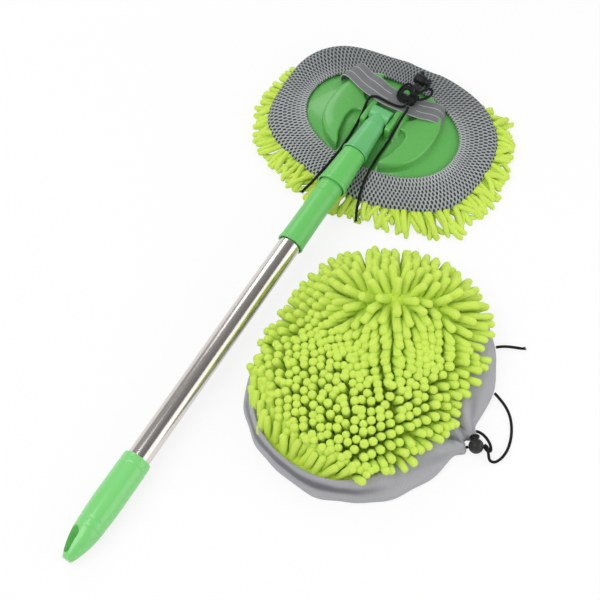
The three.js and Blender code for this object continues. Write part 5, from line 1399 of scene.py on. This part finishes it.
skirtSettings = {
    "half": (120.0, 134.0), "shoulder": 20.0, "wall": 2.2, "spreadLength": 34.0, "outlineBlur": 7.0,
    # the outline, in half sizes
    "outline": [(0.99, 0.06), (1, 0.26), (0.94, 0.5), (0.82, 0.74), (0.6, 0.95), (0.24, 1.07), (-0.16, 1.08),
                (-0.54, 0.98), (-0.85, 0.68), (-0.97, 0.28), (-0.98, -0.14), (-0.92, -0.48), (-0.77, -0.75),
                (-0.5, -0.93), (-0.18, -1.03), (0.16, -1.04), (0.47, -0.93), (0.73, -0.74), (0.9, -0.48),
                (0.96, -0.22)],
    # where the hem is pulled out to the cord's lock: turn in degrees, how far, width in degrees
    "pulls": [(-3.9, 8.5, 2.9), (-8.3, -3.0, 1.6), (-12.6, 8.0, 2.9)], "lockSide": (128.0, -8.0),
    # folds that fan out from the lock: count, phase, reach and height
    "fan": (9, 1.2, 52.0, 4.5),
    # a raised lip: turn and width in degrees, height, place and width across the skirt
    "lip": (260.0, 46.0, 8.0, 0.3, 0.22),
    # rolls below the lip, and a band of painted shade: height, and its size, place and width across the skirt
    "rolls": 5.0, "band": (0.55, 0.62, 0.14),
    # waves round the skirt, up and outwards: count, size and phase
    "folds": [(9, 1.3, 0.2), (14, 0.9, 1.3), (23, 0.55, 2.2), (37, 0.3, 0.5)],
    "waver": [(11, 0.8, 4.5), (19, 0.6, 9.3)],
}


def spareShare(x, y):
    # the place's part of the pad's half sizes
    s = spareSettings
    return (np.abs((x - s["offset"][0]) / s["half"][0]) ** s["fullness"]
            + np.abs((y - s["offset"][1]) / s["half"][1]) ** s["fullness"]) ** (1 / s["fullness"])


def fromLine(x, y, line):
    # the way from the nearest place on a line of straight stretches, and its part of the line
    p = np.stack([x, y], axis=-1)
    knots = np.array(line, float)
    ways, parts = [], []
    for k, (a, b) in enumerate(zip(knots[:-1], knots[1:])):
        t = np.clip(((p - a) @ (b - a)) / ((b - a) @ (b - a)), 0, 1)
        ways.append(p - a - t[..., None] * (b - a))
        parts.append((k + t) / (len(knots) - 1))
    ways, parts = np.stack(ways), np.stack(parts)
    nearest = np.linalg.norm(ways, axis=-1).argmin(axis=0)[None]
    way = np.take_along_axis(ways, nearest[..., None], axis=0)[0]
    return way, np.take_along_axis(parts, nearest, axis=0)[0]


def crestAt(crest, x, y):
    # the way from the crest in spreads, and its height there, height(part) exp(-way^2 / 2)
    way, part = fromLine(x, y, crest["line"])
    way = way / crest["spread"]
    height = np.interp(part, np.linspace(0, 1, len(crest["height"])), crest["height"])
    return way, height * np.exp(-0.5 * (way**2).sum(axis=-1))


def spareTop(x, y):
    # top + rise (1 - share^2.4) + (sum of the crests' heights cubed)^(1/3), faded at the edge
    s = spareSettings
    share = spareShare(x, y)
    heights = [crestAt(crest, x, y)[1] for crest in s["crests"]]
    bump = sum(height**3 for height in heights) ** (1 / 3) * (1 - eased(share, 0.8, 1))
    return s["top"] + s["rise"] * np.maximum(0, 1 - share**2.4) + bump


def lipShare(turn):
    # 1 where the skirt's lip stands up, exp(-((turn - at) / width)^4)
    at, wide = skirtSettings["lip"][:2]
    return np.exp(-(((np.degrees(turn) - at + 180) % 360 - 180) / wide) ** 4)


def padEdge(turn):
    # the pad's outline, a little further out by the lip
    s = spareSettings
    return superOval(*s["half"], s["fullness"], turn) * (1 + s["lipShift"] * lipShare(turn))[..., None]


def spareRoots():
    # A hexagonal grid over the pad, a little uneven, inside the limit less what a leaning noodle
    # adds. Gives each root's x and y, how far noodles splay there and the part of the limit.
    s, p = spareSettings, pileSettings
    pitch = p["pitch"]
    row, column = np.mgrid[-p["rows"]:p["rows"] + 1, -p["columns"]:p["columns"] + 1]
    x = ((column + (row % 2) / 2) * pitch).ravel() + s["offset"][0]
    y = (row * pitch * math.sin(math.radians(60))).ravel() + s["offset"][1]
    x, y = x + rng.normal(0, 0.45, x.shape), y + rng.normal(0, 0.45, y.shape)
    turn = np.arctan2((y - s["offset"][1]) / s["half"][1], (x - s["offset"][0]) / s["half"][0])
    splay = lookUp(smoothTable(p["splay"], 5.0), turn)
    limit = lookUp(smoothTable(p["reach"], 2.0), turn) - p["tipShare"] * splay / np.hypot(1, splay) - 0.02
    part = spareShare(x, y) / limit
    return [values[part < 1] for values in (x, y, splay, part)]


def spareChenille():
    # Each noodle leans with the slope under it, away from the crests and, near the edge, out over
    # the skirt, and bends over under its own weight. The pad is p(share, a) = share edge(a).
    s, p = spareSettings, pileSettings
    x, y, splay, part = spareRoots()
    share = spareShare(x, y)
    slopeX = (spareTop(x + 1.5, y) - spareTop(x - 1.5, y)) / 3
    slopeY = (spareTop(x, y + 1.5) - spareTop(x, y - 1.5)) / 3
    lean = -np.stack([slopeX, slopeY], axis=1)
    lean *= np.minimum(1, p["steepest"] / np.maximum(np.linalg.norm(lean, axis=1), 1e-6))[:, None]
    edge = unit((np.stack([x, y], axis=1) - s["offset"]) / np.square(s["half"]))
    splay = (splay * eased(part, p["splayFrom"], 1.0) ** 1.2)[:, None]
    out, flatten = lean + edge * splay, 0
    for crest in s["crests"]:
        way, height = crestAt(crest, x, y)
        near = height / max(crest["height"]) * (1 - 0.3 * eased(share, 0.85, 1))
        far = np.minimum(1, 1.4 * np.linalg.norm(way, axis=1))
        out = out + unit(way) * (crest["push"] * near * far)[:, None]
        flatten = np.maximum(flatten, near)
    for place, spread, push in p["combs"]:
        near = np.exp(-((x - place[0]) ** 2 + (y - place[1]) ** 2) / (2 * spread**2))
        out = out + near[:, None] * push
    inside, further, begin = p["loose"]
    out = out + rng.normal(0, 1, lean.shape) * (inside + further * eased(part, begin, 1.0))[:, None]
    aims = unit(np.column_stack([out, 1 - 0.45 * flatten]))
    always, flattened, splayed = p["droop"]
    droop = -always - flattened * flatten - splayed * splay[:, 0]
    bends = np.column_stack([lean * 0.2 + rng.normal(0, 0.03, lean.shape), droop])
    roots = np.column_stack([x, y, spareTop(x, y) - p["root"]]) + (*s["middle"], 0.0)
    lengths = (p["length"] + 2 * splay[:, 0]) * rng.uniform(*p["uneven"], len(x))
    radius = rng.uniform(*p["radius"], len(x)) * (1 - 0.08 * eased(part, 0.8, 1.0))
    grid, uv, reach, tone = noodles(roots, aims, bends, lengths, radius, p["sway"])
    share = np.concatenate([[0.0], np.linspace(0.06, 1, 20), [1.0, 0.0]])
    flat = share[:, None, None] * padEdge(np.linspace(0, 2 * np.pi, 129))[None] + s["offset"]
    z = spareTop(flat[..., 0], flat[..., 1])
    z[-2:] = s["foot"]
    pad = np.concatenate([flat + s["middle"], z[..., None]], axis=-1)
    return surface("spareChenille", [grid, pad], chenilleLook, "spare", ["spare_chenille"],
                   [uv, pad[..., :2]], {"reach": [reach, 0.2 + 0 * z], "tone": [tone, 0 * z]})


def skirtRadius(angle):
    # the skirt's outline at each angle round the pad's middle, eased by a gaussian running mean
    k = skirtSettings
    line = throughPoints(np.array(k["outline"]) * k["half"], 2001, closed=True)[:-1] - spareSettings["offset"]
    step, blur = lengthOf(line) / 2000, k["outlineBlur"]
    steps = np.arange(-int(3 * blur / step), int(3 * blur / step) + 1)
    weight = np.exp(-0.5 * (steps * step / blur) ** 2)
    line = sum(w * np.roll(line, by, axis=0) for w, by in zip(weight / weight.sum(), steps))
    line = np.concatenate([line, line[:1]])
    turn = np.unwrap(np.arctan2(line[:, 1], line[:, 0]))
    wrapped = turn[0] + (angle - turn[0]) % (2 * np.pi)
    return np.interp(wrapped, turn, np.linalg.norm(line, axis=1))


def skirtSection():
    # share of the way out and height, from the pad's edge over the skirt and back inside
    top, shoulder, wall = spareSettings["top"] - 0.3, skirtSettings["shoulder"], skirtSettings["wall"]
    rows = [(0, top), (0.16, top + 0.3), (0.36, top - 0.02 * shoulder), (0.62, top - 0.18 * shoulder),
            (0.84, top - 0.45 * shoulder), (0.965, 0.44 * shoulder), (1, 0.22 * shoulder),
            (0.985, 0.05 * shoulder), (0.93, 0.02), (0.5, 0.02), (-0.42, 0.02), (-0.44, 0.5 * wall),
            (-0.42, wall), (0.5, wall), (0.86, wall), (0.9, 0.25 * shoulder),
            (0.76, top - 0.52 * shoulder - 0.5 * wall), (0.56, top - 0.18 * shoulder - 1.2 * wall),
            (0.26, top - 1.1 * wall), (0, top - wall)]
    scale = (skirtSettings["spreadLength"], 1.0)
    section = throughPoints(np.array(rows) * scale, 90, closed=True) / scale
    section[:, 1] = np.maximum(section[:, 1], 0.02)
    return section, distances(section * scale)


def spareSkirt():
    # From the pad's edge out and down to the floor, turned in to the mouth and back up inside:
    # p(k, a) = pad(a) + share_k (outline(a) - pad(a)), at height_k with folds in its sloping part.
    s, k = spareSettings, skirtSettings
    section, across = skirtSection()
    turn = np.linspace(0, 2 * np.pi, 361)
    ring = padEdge(turn)
    aim = np.arctan2(ring[:, 1], ring[:, 0])
    pulled = sum(far * np.exp(-((np.degrees(aim) - at) / wide) ** 2) for at, far, wide in k["pulls"])
    outline = (skirtRadius(aim) + pulled)[:, None] * np.stack([np.cos(aim), np.sin(aim)], axis=1)
    start = ring + unit(outline - ring) * 0.3
    share, height = section[:, :1], section[:, 1:]
    flat = start[None] + share[..., None] * (outline - start)[None]
    upper = height > 1.2 * k["wall"]
    free = np.maximum(0, 4 * share * (1 - share)) * upper
    fromLock = flat + s["offset"] - k["lockSide"]
    far = np.linalg.norm(fromLock, axis=-1)
    ray = np.arctan2(fromLock[..., 1], -fromLock[..., 0])
    count, phase, reach, fanHeight = k["fan"]
    fan = np.sin(count * ray + phase) * np.exp(-(far / reach) ** 2) * np.minimum(1, far / 12)
    high, place, wide = k["lip"][2:]
    side = lipShare(aim)
    lip = high * side * np.exp(-((share - place) / wide) ** 2) * upper
    crease = np.abs(np.sin(np.pi * (1.6 * share + 0.2 * np.sin(3 * aim[None]) + 0.25)))
    rolls = (0.6 - crease) * side * eased(share, 0.35, 0.55)
    lift = (waves(turn[None], k["folds"]) + fanHeight * fan + k["rolls"] * rolls) * free + lip
    # painted shade: a darker band below the lip, and darker colour in the valleys of the fan folds and rolls
    dark, place, wide = k["band"]
    band = dark * side * np.exp(-((share - place - 0.06 * np.sin(5 * aim[None])) / wide) ** 2) * upper
    paintedShade = (np.maximum(-fan, 0) * 0.9 + np.maximum(-rolls, 0) * 1.6) * free + band
    out = unit(outline - start)[None] * (waves(turn[None], k["waver"]) * eased(share, 0.4, 1.0))[..., None]
    z = np.maximum(height + lift, 0.02)
    grid = np.concatenate([flat + out + s["offset"] + s["middle"], z[..., None]], axis=-1)
    u = np.broadcast_to(distances(outline)[None], z.shape)
    v = np.broadcast_to(across[:, None], z.shape)
    return surface("spareSkirt", [grid], knitLook, "spare", ["spare_skirt"],
                   [np.stack([u, v], axis=-1)], {"paintedShade": [paintedShade]})


sparePad = spareChenille()
skirt = spareSkirt()
print("spare cover made")


# Small parts that keep the solid's own shape.

keptLooks = {
    "pivot_pin": smallSteelLook, "strap_screw_left": smallSteelLook, "strap_screw_right": smallSteelLook,
    "cord_lock_spring": smallSteelLook, "spare_lock_spring": smallSteelLook,
    "expander_stud": plugLook, "expander_ring": whiteLook,
}
for node, look in keptLooks.items():
    mesh = frame["nodes"][node].data
    mesh.materials.clear()
    mesh.materials.append(look)


print("dressed")
